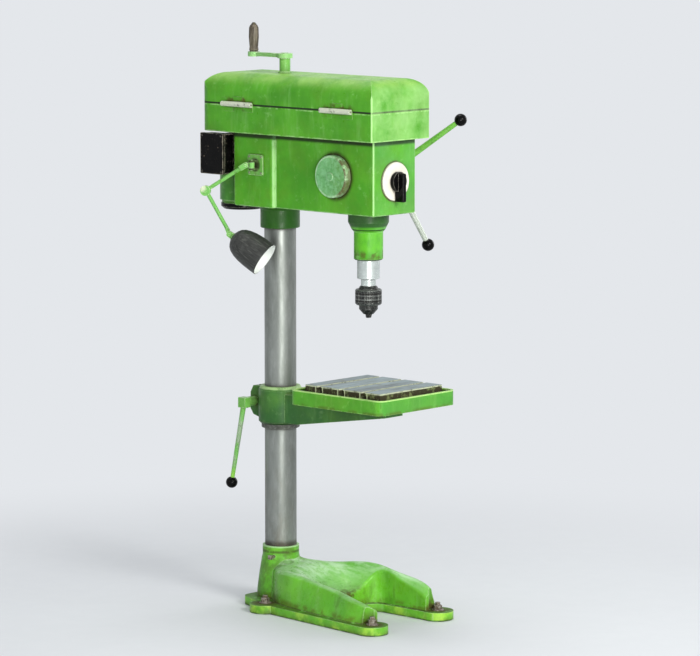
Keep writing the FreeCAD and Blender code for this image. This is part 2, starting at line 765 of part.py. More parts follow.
def make_base_set_screw():
    """Square headed screw that holds the column in its socket."""
    reach = "sqrt(column_r ^ 2 - 15 ^ 2)"
    shank = rod("4.9", f"tower_r + 8 - {reach}", (f"-{reach} - 0.1", "-20", "set_screw_z"), ALONG_X.inverted())
    head = block(("-tower_r - 16", "-20 - 6.5", "set_screw_z - 6.5"), ("9", "13", "13"))
    return node("base_set_screw", fused(shank, head))


def make_column():
    outline = [
        ("column_bore_r", "column_foot"),
        ("column_r", "column_foot"),
        ("column_r", "column_top - 2"),
        ("column_r - 2", "column_top"),
        ("column_bore_r", "column_top"),
    ]
    return node("column", turned("Column", outline))


def make_column_nut():
    """The plug in the top of the column that the elevating screw turns in."""
    outline = [
        ("0", "column_top - 55"),
        ("column_bore_r - snug", "column_top - 55"),
        ("column_bore_r - snug", "column_top"),
        ("column_r - 3", "column_top"),
        ("column_r - 3", "column_top + 6"),
        ("column_r - 5", "column_top + 8"),
        ("0", "column_top + 8"),
    ]
    hole = rod("screw_r + fit", "65", ("0", "-screw_y", "column_top - 56"))
    return node("column_nut", cut(turned("ColumnNut", outline), hole))


# ---------------------------------------------------------------- table
def make_support_collar():
    """The ring under the bracket, which carries it while it swings."""
    low = "hub_low - gap - collar_t"
    high = "hub_low - gap"
    outline = [
        ("column_r + fit", low),
        ("collar_r - 1.5", low),
        ("collar_r", f"{low} + 1.5"),
        ("collar_r", f"{high} - 1.5"),
        ("collar_r - 1.5", high),
        ("column_r + fit", high),
    ]
    middle = f"({low} + collar_t / 2)"
    hole = rod("3.5", "collar_r", ("0", "0", middle), ALONG_X)
    return node("support_collar", cut(turned("Collar", outline), hole))


def make_collar_screw():
    middle = "hub_low - gap - collar_t / 2"
    screw = rod("3.5", "12", ("column_r + fit + 0.3", "0", middle), ALONG_X)
    socket = hexagon("3.5", "4", ("column_r + fit + 9.3", "0", middle), ALONG_X)
    return node("collar_screw", cut(screw, socket))


def make_table_bracket():
    """Split hub on the column, with its clamp ears and the arm."""
    body = new_body("TableBracket")
    hub = polygon(
        new_sketch(body, "XZ_Plane"),
        [
            ("column_r - 5", "hub_low"),
            ("hub_r - 6", "hub_low"),
            ("hub_r", "hub_low + 6"),
            ("hub_r", "hub_high - 12"),
            ("hub_r - 7", "hub_high"),
            ("column_r - 5", "hub_high"),
        ],
    )
    spin(body, hub)
    under = "(table_z - table_depth)"
    arm = polygon(
        new_sketch(body, "YZ_Plane", "-arm_half"),
        [
            ("-column_r + 4", f"{under} - arm_root_deep"),
            ("-hub_r - 40", f"{under} - arm_root_deep"),
            ("-arm_tip_y", f"{under} - arm_tip_deep"),
            ("-arm_tip_y", under),
            ("-column_r + 4", under),
        ],
    )
    pad(body, arm, "2 * arm_half")
    head = polygon(
        new_sketch(body, offset=f"{under} - 14"),
        [
            ("-80", "-table_back - 60"),
            ("-80", "-arm_tip_y"),
            ("80", "-arm_tip_y"),
            ("80", "-table_back - 60"),
        ],
    )
    pad(body, head, "14")
    lighten = polygon(
        new_sketch(body, "YZ_Plane", "-arm_half + 10"),
        [
            ("-hub_r - 30", f"{under} - arm_root_deep - 1"),
            ("-arm_tip_y + 14", f"{under} - arm_tip_deep - 1"),
            ("-arm_tip_y + 14", f"{under} - 16"),
            ("-hub_r - 30", f"{under} - 30"),
        ],
    )
    pocket(body, lighten, "2 * arm_half - 20", reverse=True)
    for low, high in (("-ear_x", "-split_w / 2"), ("split_w / 2", "ear_x")):
        ear = polygon(
            new_sketch(body, "YZ_Plane", low),
            [
                ("column_r - 4", "hub_low + 4"),
                ("ear_y + 6", "hub_low + 18"),
                ("ear_y + 18", "ear_z - 26"),
                ("ear_y + 18", "ear_z + 26"),
                ("ear_y + 6", "hub_high - 8"),
                ("column_r - 4", "hub_high - 6"),
            ],
        )
        pad(body, ear, f"({high}) - ({low})")
    slit = polygon(
        new_sketch(body, offset="hub_low - 1"),
        [
            ("-split_w / 2", "column_r - 12"),
            ("split_w / 2", "column_r - 12"),
            ("split_w / 2", "ear_y + 30"),
            ("-split_w / 2", "ear_y + 30"),
        ],
    )
    pocket(body, slit, "hub_high - hub_low + 2", reverse=True)
    bore = circle(new_sketch(body, offset="hub_low - 1"), "0", "0", "column_r + fit")
    pocket(body, bore, "hub_high - hub_low + 2", reverse=True)
    hole = circle(new_sketch(body, "YZ_Plane", "-ear_x - 1"), "ear_y", "ear_z", "clamp_r + fit")
    pocket(body, hole, "2 * ear_x + 2", reverse=True)
    for x in ("-62", "62"):
        for y in ("-table_back - 90", "-arm_tip_y + 24"):
            hole = circle(new_sketch(body, offset=f"{under} - 40"), x, y, "5.5")
            pocket(body, hole, "60", reverse=True)
    return node("table_bracket", body)


def make_work_table():
    """Coolant rim, raised machined face and three T slots along X."""
    body = new_body("WorkTable")
    low = "table_z - table_depth"
    plan = polygon(
        new_sketch(body, offset=low),
        [
            ("-table_half_x", "-table_front"),
            ("table_half_x", "-table_front"),
            ("table_half_x", "-table_back"),
            ("-table_half_x", "-table_back"),
        ],
    )
    pad(body, plan, "table_depth - table_rim_top")
    channel = polygon(
        new_sketch(body, offset="table_z - table_rim_top"),
        [
            ("-table_half_x + rim_wall", "-table_front + rim_wall"),
            ("table_half_x - rim_wall", "-table_front + rim_wall"),
            ("table_half_x - rim_wall", "-table_back - rim_wall"),
            ("-table_half_x + rim_wall", "-table_back - rim_wall"),
        ],
    )
    pocket(body, channel, "channel_deep")

    def channel_corner(edge):
        inner = size("table_half_x - rim_wall")
        return upright(edge) and abs(abs(middle_of(edge).x) - inner) < 1

    def outer_corner(edge):
        outer = size("table_half_x")
        return upright(edge) and abs(abs(middle_of(edge).x) - outer) < 1

    body_fillet(body, "table_corner_r - rim_wall", channel_corner)
    body_fillet(body, "table_corner_r", outer_corner)
    face = polygon(
        new_sketch(body, offset=f"{low} + 10"),
        [
            ("-table_half_x + channel_w", "-table_front + channel_w"),
            ("table_half_x - channel_w", "-table_front + channel_w"),
            ("table_half_x - channel_w", "-table_back - channel_w - 8"),
            ("-table_half_x + channel_w", "-table_back - channel_w - 8"),
        ],
    )
    pad(body, face, "table_depth - 10")
    for step in (-1, 0, 1):
        centre = f"(-slot_y + {step} * slot_pitch)"
        slot = polygon(
            new_sketch(body, "YZ_Plane", "-table_half_x + channel_w - 1"),
            [
                (f"{centre} - slot_w / 2", "table_z + 1"),
                (f"{centre} - slot_w / 2", "table_z - slot_neck"),
                (f"{centre} - slot_tee_w / 2", "table_z - slot_neck"),
                (f"{centre} - slot_tee_w / 2", "table_z - slot_neck - slot_tee"),
                (f"{centre} + slot_tee_w / 2", "table_z - slot_neck - slot_tee"),
                (f"{centre} + slot_tee_w / 2", "table_z - slot_neck"),
                (f"{centre} + slot_w / 2", "table_z - slot_neck"),
                (f"{centre} + slot_w / 2", "table_z + 1"),
            ],
        )
        pocket(body, slot, "2 * (table_half_x - channel_w) + 2", reverse=True)
    for side in ("-1", "1"):
        relief = polygon(
            new_sketch(body, offset=f"{low} - 1"),
            [
                (f"{side} * 92", "-table_front + 14"),
                (f"{side} * (table_half_x - 12)", "-table_front + 14"),
                (f"{side} * (table_half_x - 12)", "-table_back - 14"),
                (f"{side} * 92", "-table_back - 14"),
            ],
        )
        pocket(body, relief, "12", reverse=True)
    for x in ("-62", "62"):
        for y in ("-table_back - 90", "-arm_tip_y + 24"):
            hole = circle(new_sketch(body, offset=f"{low} - 1"), x, y, "5")
            pocket(body, hole, "17", reverse=True)
    return node("work_table", body)


def make_table_bolts():
    """Four screws up through the arm's head into the table."""
    seat = "table_z - table_depth - 14"
    pieces = []
    for x in ("-62", "62"):
        for y in ("-table_back - 90", "-arm_tip_y + 24"):
            shank = rod("5 - snug", "28", (x, y, f"{seat} - 1"))
            head = hexagon("17", "8", (x, y, f"{seat} - 8"))
            pieces.append(fused(shank, head))
    return node("table_bolts", group(*pieces))


def make_clamp_nut():
    at = ("ear_x", "ear_y", "ear_z")
    nut = hexagon("26", "14", at, ALONG_X)
    hole = rod("clamp_r + fit", "20", ("ear_x - 2", "ear_y", "ear_z"), ALONG_X)
    return node("clamp_nut", cut(nut, hole))


def lever_line():
    lean = math.radians(size("lever_lean"))
    return Vector(0, math.sin(lean), -math.cos(lean))


def make_clamp_stud():
    at = ("-lever_x - 10", "ear_y", "ear_z")
    return node("clamp_stud", rod("clamp_r", "lever_x + 10 + ear_x + 20", at, ALONG_X))


def make_clamp_lever():
    """Lever boss on the clamp stud, with the rod leaning to the rear."""
    boss = rod("15", "lever_x + 12 - ear_x - gap", ("-lever_x - 12", "ear_y", "ear_z"), ALONG_X)
    block_low = ("-lever_x - 12", "ear_y - 15", "ear_z - 17")
    head = block(block_low, ("26", "30", "32"))
    turn = Rotation(Vector(0, 0, 1), lever_line())
    shaft = cone("8.5", "6.5", "lever_len - 8", ("-lever_x", "ear_y", "ear_z"), turn)
    hole = rod("clamp_r + snug", "lever_x + 40", ("-lever_x - 10.2", "ear_y", "ear_z"), ALONG_X)
    return node("clamp_lever", cut(fused(boss, head, shaft), hole))


def make_clamp_knob():
    end = lever_line() * size("lever_len")
    centre = ("-lever_x", f"ear_y + {end.y}", f"ear_z + {end.z}")
    turn = Rotation(Vector(0, 0, 1), lever_line())
    start = ("-lever_x", "ear_y", "ear_z")
    knob = ball("lever_ball_r", centre)
    socket = cone("8.5 + fit", "6.5 + fit", "lever_len - 7.9", start, turn)
    return node("clamp_knob", cut(knob, socket))


# ---------------------------------------------------------------- head
def make_head_casting():
    body = new_body("HeadCasting")
    plan = polygon(
        new_sketch(body, offset="head_low"),
        [
            ("-head_half", "-head_front"),
            ("head_half", "-head_front"),
            ("head_half", "-step_y"),
            ("rear_half", "-step_y"),
            ("rear_half", "head_back"),
            ("-rear_half", "head_back"),
            ("-rear_half", "-step_y"),
            ("-head_half", "-step_y"),
        ],
    )
    pad(body, plan, "head_top - head_low")

    def step_corner(edge):
        point = middle_of(edge)
        outer = abs(abs(point.x) - size("rear_half")) < 1
        return upright(edge) and outer and abs(point.y + size("step_y")) < 1

    def front_corner(edge):
        return upright(edge) and abs(middle_of(edge).y + size("head_front")) < 1

    def lower_edge(edge):
        low = abs(middle_of(edge).z - size("head_low")) < 0.5
        return low and not upright(edge)

    body_fillet(body, "12", step_corner)
    body_fillet(body, "7", front_corner)
    body_fillet(body, "6", lower_edge)
    cavity = polygon(
        new_sketch(body, offset="head_top"),
        [
            ("-head_half + head_wall", "-head_front + head_wall"),
            ("head_half - head_wall", "-head_front + head_wall"),
            ("head_half - head_wall", "head_back - head_wall"),
            ("-head_half + head_wall", "head_back - head_wall"),
        ],
    )
    pocket(body, cavity, "head_top - head_low - head_wall")
    collar = polygon(
        new_sketch(body, "XZ_Plane"),
        [
            ("0", "head_collar_low"),
            ("head_collar_r - 2", "head_collar_low"),
            ("head_collar_r", "head_collar_low + 2"),
            ("head_collar_r", "head_low - 14"),
            ("head_collar_r + 5", "head_low - 4"),
            ("head_collar_r + 5", "head_low + 4"),
            ("head_collar_r + 5", "head_top"),
            ("0", "head_top"),
        ],
    )
    spin(body, collar)
    nose = new_sketch(body, "XZ_Plane", "spindle_y")
    polygon(
        nose,
        [
            ("0", "sleeve_low"),
            ("sleeve_r - 3", "sleeve_low"),
            ("sleeve_r", "sleeve_low + 3"),
            ("sleeve_r", "nose_low - 8"),
            ("sleeve_r + 7", "nose_low"),
            ("nose_r", "nose_low + 22"),
            ("nose_r", "head_low + 4"),
            ("quill_r + 14", "head_low + head_wall"),
            ("quill_r + 14", "head_top"),
            ("0", "head_top"),
        ],
    )
    spin(body, nose)
    cross = circle(
        new_sketch(body, "YZ_Plane", "-head_half + 2"),
        "-spindle_y + rack_line + module * pinion_teeth / 2",
        "pinion_z",
        "journal_r + 10",
    )
    pad(body, cross, "2 * head_half - 4")
    quill_bore = circle(new_sketch(body, offset="sleeve_low - 1"), "0", "-spindle_y", "quill_r + fit")
    pocket(body, quill_bore, "head_top - sleeve_low + 2", reverse=True)
    column_bore = circle(new_sketch(body, offset="head_collar_low - 1"), "0", "0", "column_r + fit")
    pocket(body, column_bore, "column_web - head_collar_low + 1", reverse=True)
    screw_hole = circle(
        new_sketch(body, offset="column_web - 1"), "0", "-screw_y", "screw_journal_r + fit"
    )
    pocket(body, screw_hole, "head_top - column_web + 2", reverse=True)
    pinion_bore = circle(
        new_sketch(body, "YZ_Plane", "-head_half - 1"),
        "-spindle_y + rack_line + module * pinion_teeth / 2",
        "pinion_z",
        "journal_r + fit",
    )
    pocket(body, pinion_bore, "2 * head_half + 2", reverse=True)
    return node("head_casting", body)


def make_spring_housing():
    """Cup over the quill's return spring, on the left of the head."""
    at = ("-head_half", "-spindle_y + rack_line + module * pinion_teeth / 2", "pinion_z")
    outline = [
        ("0", "spring_cup_t"),
        ("0", "spring_cup_t + 3"),
        ("12.5", "spring_cup_t + 3"),
        ("12.5", "spring_cup_t"),
        ("spring_cup_r - 3", "spring_cup_t"),
        ("spring_cup_r", "spring_cup_t - 3"),
        ("spring_cup_r", "0"),
        ("spring_cup_r - 9", "0"),
        ("spring_cup_r - 9", "spring_cup_t - 4"),
        ("0", "spring_cup_t - 4"),
    ]
    return node("spring_housing", turned("SpringHousing", outline, at, Rotation(Vector(0, 1, 0), -90)))


def make_return_spring():
    """Flat spiral spring, from the shaft's stub to the housing's wall."""
    turns, steps = 4, 20
    inner, outer = size("spring_stub_r + 1.2"), size("spring_cup_r - 9.1")
    thick = 0.9
    count = turns * steps
    near, far = [], []
    for index in range(count + 1):
        angle = 2 * math.pi * index / steps
        radius = inner + (outer - thick - inner) * index / count
        way = Vector(0, math.cos(angle), math.sin(angle))
        near.append(way * radius)
        far.append(way * (radius + thick))
    wire = Part.makePolygon(near + far[::-1] + near[:1])
    strip = Part.Face(wire).extrude(Vector(-size("spring_cup_t - 10"), 0, 0))
    spring = doc.addObject("Part::Feature", "ReturnSpring")
    spring.Shape = strip
    pinion_y = "-spindle_y + rack_line + module * pinion_teeth / 2"
    place(spring, ("-head_half - 3", pinion_y, "pinion_z"))
    return node("return_spring", spring)


def make_switch_plate():
    outline = [
        ("0", "0"),
        ("switch_r", "0"),
        ("switch_r", "switch_t - 3"),
        ("switch_r - 3", "switch_t"),
        ("0", "switch_t"),
    ]
    at = ("0", "-head_front", "switch_z")
    return node("switch_plate", turned("SwitchPlate", outline, at, Rotation(Vector(1, 0, 0), 90)))


def make_switch_knob():
    """Round base with a long hand grip that points down when off."""
    face = "(head_front + switch_t + gap)"
    turn = Rotation(Vector(1, 0, 0), 90)
    base = rod("knob_r", "14", ("0", f"-{face}", "switch_z"), turn)
    low = ("-8", f"-{face} - knob_deep", "switch_z - knob_r - 32")
    grip = block(low, ("16", "knob_deep", "2 * knob_r + 28"))
    grip = rounded(grip, "5", lambda edge: abs(middle_of(edge).y) > size(f"{face} + 1"))
    return node("switch_knob", fused(base, grip))


# ---------------------------------------------------------------- feed
PINION_Y = "-spindle_y + rack_line + module * pinion_teeth / 2"


def make_quill():
    """Sleeve that slides in the head, with rack teeth cut in its back."""
    body = new_body("Quill", ("0", "-spindle_y", "0"))
    outline = [
        ("quill_bore_r", "quill_low"),
        ("quill_r - 1.5", "quill_low"),
        ("quill_r", "quill_low + 1.5"),
        ("quill_r", "quill_high - 1.5"),
        ("quill_r - 1.5", "quill_high"),
        ("quill_bore_r", "quill_high"),
    ]
    spin(body, polygon(new_sketch(body, "XZ_Plane"), outline))
    flat = polygon(
        new_sketch(body, "YZ_Plane", "-quill_r"),
        [
            ("rack_line + module", "pinion_z - 3 * pi * module"),
            ("quill_r + 1", "pinion_z - 3 * pi * module"),
            ("quill_r + 1", "quill_high + 1"),
            ("rack_line + module", "quill_high + 1"),
        ],
    )
    pocket(body, flat, "2 * quill_r", reverse=True)
    tooth_gap = new_sketch(body, "YZ_Plane", "-quill_r")
    slope = "1.25 * module * 0.364"
    lowest = "pinion_z - 2 * pi * module"
    polygon(
        tooth_gap,
        [
            ("rack_line - 1.25 * module", f"{lowest} - pi * module / 4 + {slope}"),
            ("rack_line - 1.25 * module", f"{lowest} + pi * module / 4 - {slope}"),
            ("rack_line + 1.25 * module", f"{lowest} + pi * module / 4 + {slope}"),
            ("rack_line + 1.25 * module", f"{lowest} - pi * module / 4 - {slope}"),
        ],
    )
    first = pocket(body, tooth_gap, "2 * quill_r", reverse=True)
    doc.recompute()
    count = int(size("(quill_high - pinion_z - 4) / (pi * module)")) + 3
    rack = body.newObject("PartDesign::LinearPattern", "Rack")
    rack.Originals = [first]
    rack.Direction = (tooth_gap, ["V_Axis"])
    rack.setExpression("Length", bound(f"pi * module * {count - 1}"))
    rack.Occurrences = count
    body.Tip = rack
    return node("quill", body)


def make_quill_bearings():
    outline = ("spindle_r + fit", "quill_bore_r - snug")
    at = ("0", "-spindle_y", "0")
    low = ring("LowBearing", *outline, "quill_low + 6", "quill_low + 24", at)
    high = ring("HighBearing", *outline, "quill_high - 24", "quill_high - 6", at)
    return node("quill_bearings", group(low, high))


def make_spindle():
    """Arbor, neck and shaft, with four splines at its upper end."""
    at = ("0", "-spindle_y", "0")
    shaft = turned(
        "SpindleShaft",
        [
            ("0", "chuck_top - 24"),
            ("10", "chuck_top - 24"),
            ("10", "chuck_top"),
            ("spindle_neck_r - 2", "chuck_top"),
            ("spindle_neck_r", "chuck_top + 2"),
            ("spindle_neck_r", "quill_low - 2"),
            ("spindle_neck_r - 2", "quill_low - gap"),
            ("spindle_r", "quill_low - gap"),
            ("spindle_r", "quill_high"),
            ("spline_core_r", "quill_high + 4"),
            ("spline_core_r", "spindle_top"),
            ("0", "spindle_top"),
        ],
        at,
    )
    teeth = [
        block(
            ("-spline_tip_r", "-spindle_y - spline_w / 2", "quill_high"),
            ("2 * spline_tip_r", "spline_w", "spindle_top - quill_high - 2"),
        ),
        block(
            ("-spline_w / 2", "-spindle_y - spline_tip_r", "quill_high"),
            ("spline_w", "2 * spline_tip_r", "spindle_top - quill_high - 2"),
        ),
    ]
    return node("spindle", fused(shaft, *teeth))


def jaw_line(index):
    """The way that a jaw slides as it draws back into the chuck."""
    lean = math.radians(size("jaw_lean"))
    turn = math.radians(90 + 120 * index)
    flat = Vector(math.cos(turn), math.sin(turn), 0)
    return flat * math.sin(lean) + Vector(0, 0, math.cos(lean))


def jaw_bore(index, radius, length):
    """A rod on one jaw's axis, from a little below the jaw's tip."""
    line = jaw_line(index)
    back = line * -4
    foot = Vector(line.x, line.y, 0).normalize() * size("jaw_r - 1.6") + back
    at = (f"{foot.x}", f"-spindle_y + {foot.y}", f"jaw_tip + {foot.z}")
    return rod(radius, length, at, Rotation(Vector(0, 0, 1), line))


def make_chuck_body():
    at = ("0", "-spindle_y", "0")
    solid = turned(
        "ChuckCore",
        [
            ("0", "chuck_nose"),
            ("16", "chuck_nose"),
            ("29", "chuck_shoulder - 12"),
            ("29", "chuck_shoulder - gap"),
            ("chuck_core_r", "chuck_shoulder + 1"),
            ("chuck_core_r", "chuck_top - 8"),
            ("chuck_core_r - 5", "chuck_top - 0.02"),
            ("10 + snug", "chuck_top - 0.02"),
            ("10 + snug", "chuck_top - 25"),
            ("0", "chuck_top - 25"),
        ],
        at,
    )
    bores = [jaw_bore(index, "jaw_r + fit", "jaw_travel + 52") for index in range(3)]
    throat = rod("6.5", "30", ("0", "-spindle_y", "chuck_nose - 1"))
    return node("chuck_body", cut(solid, throat, *bores))


def make_chuck_sleeve():
    """Fluted sleeve that is turned to move the jaws."""
    outline = [
        ("chuck_core_r + fit", "chuck_shoulder + 1.5"),
        ("chuck_r - 4", "chuck_shoulder + 1.5"),
        ("chuck_r", "chuck_shoulder + 6"),
        ("chuck_r", "chuck_top - 12"),
        ("chuck_r - 3", "chuck_top - 9"),
        ("chuck_core_r + fit", "chuck_top - 9"),
    ]
    at = ("0", "-spindle_y", "0")
    flutes = []
    count = 12
    for index in range(count):
        turn = 2 * math.pi * index / count
        x, y = math.cos(turn), math.sin(turn)
        where = (f"(chuck_r + 1.2) * {x}", f"-spindle_y + (chuck_r + 1.2) * {y}", "chuck_shoulder + 10")
        flutes.append(rod("3.4", "chuck_top - chuck_shoulder - 26", where))
    return node("chuck_sleeve", cut(turned("ChuckSleeve", outline, at), *flutes))


def make_chuck_jaws():
    """Three rods with flats that face each other, closed at the tips."""
    for index, name in enumerate(("chuck_jaw_a", "chuck_jaw_b", "chuck_jaw_c")):
        rod_shape = jaw_bore(index, "jaw_r", "48")
        line = jaw_line(index)
        flat = Vector(line.x, line.y, 0).normalize()
        wedge = new_body("JawWedge", ("0", "-spindle_y", "0"), Rotation(Vector(1, 0, 0), flat))
        reach = "(2 * chuck_r)"
        points = [
            ("0.35", "0"),
            (f"0.35 + {reach}", f"{reach} * 1.732"),
            (f"0.35 + {reach}", f"-{reach} * 1.732"),
        ]
        pad(wedge, polygon(new_sketch(wedge, offset="jaw_tip"), points), "60")
        node(name, common(rod_shape, wedge))


def involute_outline(teeth, module, thin):
    """One spur gear outline as a closed list of points in a plane."""
    pressure = math.radians(20)
    pitch_r = teeth * module / 2
    base_r = pitch_r * math.cos(pressure)
    tip_r = pitch_r + module
    root_r = pitch_r - 1.25 * module
    half = math.pi / (2 * teeth) - thin / (2 * pitch_r)
    spread = math.tan(pressure) - pressure
    flank = []
    for index in range(4):
        radius = max(base_r, root_r) + (tip_r - max(base_r, root_r)) * index / 3
        roll = math.acos(min(1.0, base_r / radius))
        flank.append((radius, half + spread - (math.tan(roll) - roll)))
    points = []
    for tooth in range(teeth):
        middle = 2 * math.pi * tooth / teeth
        root_angle = flank[0][1]
        points.append((root_r, middle - root_angle - 0.01))
        points += [(radius, middle - angle) for radius, angle in flank]
        points += [(radius, middle + angle) for radius, angle in reversed(flank)]
        points.append((root_r, middle + root_angle + 0.01))
    return [(radius * math.cos(turn), radius * math.sin(turn)) for radius, turn in points]


def make_pinion_shaft():
    """Shaft across the head, with the pinion's teeth in its middle."""
    teeth = int(size("pinion_teeth"))
    tooth_thin = 0.16
    start = size("-pinion_face / 2")
    # a tooth of the shaft stands in the rack's gap at the shaft's height
    points = [
        Vector(start, -y, x) for x, y in
        [
            (
                px * math.cos(math.pi / 2) - py * math.sin(math.pi / 2),
                px * math.sin(math.pi / 2) + py * math.cos(math.pi / 2),
            )
            for px, py in involute_outline(teeth, size("module"), tooth_thin)
        ]
    ]
    gear = doc.addObject("Part::Feature", "PinionTeeth")
    outline = Part.makePolygon(points + points[:1])
    gear.Shape = Part.Face(outline).extrude(Vector(size("pinion_face"), 0, 0))
    place(gear, ("0", PINION_Y, "pinion_z"))
    left = rod("journal_r", "head_half - pinion_face / 2", ("-head_half", PINION_Y, "pinion_z"), ALONG_X)
    right = rod("journal_r", "head_half - pinion_face / 2", ("pinion_face / 2", PINION_Y, "pinion_z"), ALONG_X)
    stub = rod("stub_r", "82", ("head_half", PINION_Y, "pinion_z"), ALONG_X)
    spring_end = ("-head_half - spring_cup_t + 5", PINION_Y, "pinion_z")
    tail = rod("spring_stub_r", "spring_cup_t - 5", spring_end, ALONG_X)
    return node("pinion_shaft", fused(gear, left, right, stub, tail))


def make_depth_ring():
    outline = [
        ("stub_r + snug", "gap"),
        ("dial_r", "gap"),
        ("dial_r", "dial_t - 4"),
        ("dial_r - 4", "dial_t"),
        ("stub_r + snug", "dial_t"),
    ]
    at = ("head_half", PINION_Y, "pinion_z")
    return node("depth_ring", turned("DepthRing", outline, at, ALONG_X))


def spoke_line(index):
    cone_angle = math.radians(size("spoke_cone"))
    turn = math.radians(size("spoke_turn") + 120 * index)
    flat = Vector(0, -math.sin(turn), math.cos(turn))
    return Vector(math.sin(cone_angle), 0, 0) + flat * math.cos(cone_angle)


def spoke_taper(index, extra, ahead="0"):
    """A spoke, or its socket when it is thickened and lengthened."""
    line = spoke_line(index)
    foot = line * size(f"stub_r + spoke_r - ({ahead})")
    at = (f"turnstile_x + {foot.x}", f"{PINION_Y} + {foot.y}", f"pinion_z + {foot.z}")
    length = f"spoke_len - stub_r - spoke_r - 8 + 2 * ({ahead})"
    turn = Rotation(Vector(0, 0, 1), line)
    return cone(f"spoke_r + {extra}", f"spoke_tip_r + {extra}", length, at, turn)


def make_capstan_hub():
    outline = [
        ("stub_r + snug", "dial_t"),
        ("turnstile_r - 4", "dial_t"),
        ("turnstile_r", "dial_t + 6"),
        ("turnstile_r", "90"),
        ("turnstile_r - 7", "98"),
        ("0", "98"),
        ("0", "82.1"),
        ("stub_r + snug", "82.1"),
    ]
    at = ("head_half", PINION_Y, "pinion_z")
    sockets = [spoke_taper(index, "fit", "0.2") for index in range(3)]
    return node("capstan_hub", cut(turned("CapstanHub", outline, at, ALONG_X), *sockets))


def make_capstan_spokes():
    spokes = [spoke_taper(index, "0") for index in range(3)]
    return node("capstan_spokes", group(*spokes))


def make_capstan_knobs():
    knobs = []
    for index in range(3):
        line = spoke_line(index) * size("spoke_len")
        centre = (f"turnstile_x + {line.x}", f"{PINION_Y} + {line.y}", f"pinion_z + {line.z}")
        knobs.append(cut(ball("spoke_ball_r", centre), spoke_taper(index, "fit", "0.2")))
    return node("capstan_knobs", group(*knobs))


# ---------------------------------------------------------------- drive
def step_outline(bore, radii, face_low):
    """Profile of a cone pulley with one V groove in each step."""
    outline = [(bore, face_low)]
    for index, radius in enumerate(radii):
        low = f"{face_low} + {index} * step_h"
        outline += [
            (radius, low),
            (radius, f"{low} + step_h / 2 - 7"),
            (f"{radius} - groove", f"{low} + step_h / 2 - 4"),
            (f"{radius} - groove", f"{low} + step_h / 2 + 4"),
            (radius, f"{low} + step_h / 2 + 7"),
            (radius, f"{low} + step_h"),
        ]
    outline.append((bore, f"{face_low} + {len(radii)} * step_h"))
    return outline


def make_bearing_housing():
    """Flanged housing on the head that carries the drive sleeve."""
    outline = [
        ("drive_sleeve_r + 9", "head_top"),
        ("quill_r + 24", "head_top"),
        ("quill_r + 24", "head_top + 8"),
        ("drive_sleeve_r + 18", "head_top + 8"),
        ("drive_sleeve_r + 18", "pulley_low - 3"),
        ("drive_sleeve_r + 9", "pulley_low - 3"),
    ]
    return node("bearing_housing", turned("BearingHousing", outline, ("0", "-spindle_y", "0")))


def make_pulley_bearings():
    outline = ("drive_sleeve_r + fit", "drive_sleeve_r + 9 - snug")
    at = ("0", "-spindle_y", "0")
    low = ring("LowerRing", *outline, "head_top + 1", "head_top + 14", at)
    high = ring("UpperRing", *outline, "pulley_low - 18", "pulley_low - 5", at)
    return node("pulley_bearings", group(low, high))


def make_drive_sleeve():
    """Tube in the bearings, with splines that the spindle slides through."""
    outline = [
        ("spline_core_r + fit", "head_top - 4"),
        ("drive_sleeve_r", "head_top - 4"),
        ("drive_sleeve_r", "pulley_low + 3 * step_h + 8"),
        ("spline_core_r + fit", "pulley_low + 3 * step_h + 8"),
    ]
    tube = turned("DriveTube", outline, ("0", "-spindle_y", "0"))
    wide = "(spline_tip_r + fit)"
    thick = "(spline_w + 2 * fit)"
    height = "pulley_low - head_top + 3 * step_h + 20"
    ways = [
        block((f"-{wide}", f"-spindle_y - {thick} / 2", "head_top - 6"), (f"2 * {wide}", thick, height)),
        block((f"-{thick} / 2", f"-spindle_y - {wide}", "head_top - 6"), (thick, f"2 * {wide}", height)),
    ]
    return node("drive_sleeve", cut(tube, *ways))


def make_spindle_pulley():
    radii = ["(drive_step_r + 2 * step_rise)", "(drive_step_r + step_rise)", "drive_step_r"]
    outline = step_outline("drive_sleeve_r + snug", radii, "pulley_low")
    return node("spindle_pulley", turned("SpindlePulley", outline, ("0", "-spindle_y", "0")))


def make_motor_pulley():
    radii = ["motor_step_r", "(motor_step_r + step_rise)", "(motor_step_r + 2 * step_rise)"]
    outline = step_outline("motor_shaft_r + snug", radii, "pulley_low")
    return node("motor_pulley", turned("MotorPulley", outline, ("0", "motor_y", "0")))


def make_motor_shaft():
    outline = [
        ("0", "motor_high - 60"),
        ("motor_shaft_r", "motor_high - 60"),
        ("motor_shaft_r", "pulley_low + 3 * step_h + 1"),
        ("motor_shaft_r - 2", "pulley_low + 3 * step_h + 3"),
        ("0", "pulley_low + 3 * step_h + 3"),
    ]
    return node("motor_shaft", turned("MotorShaft", outline, ("0", "motor_y", "0")))


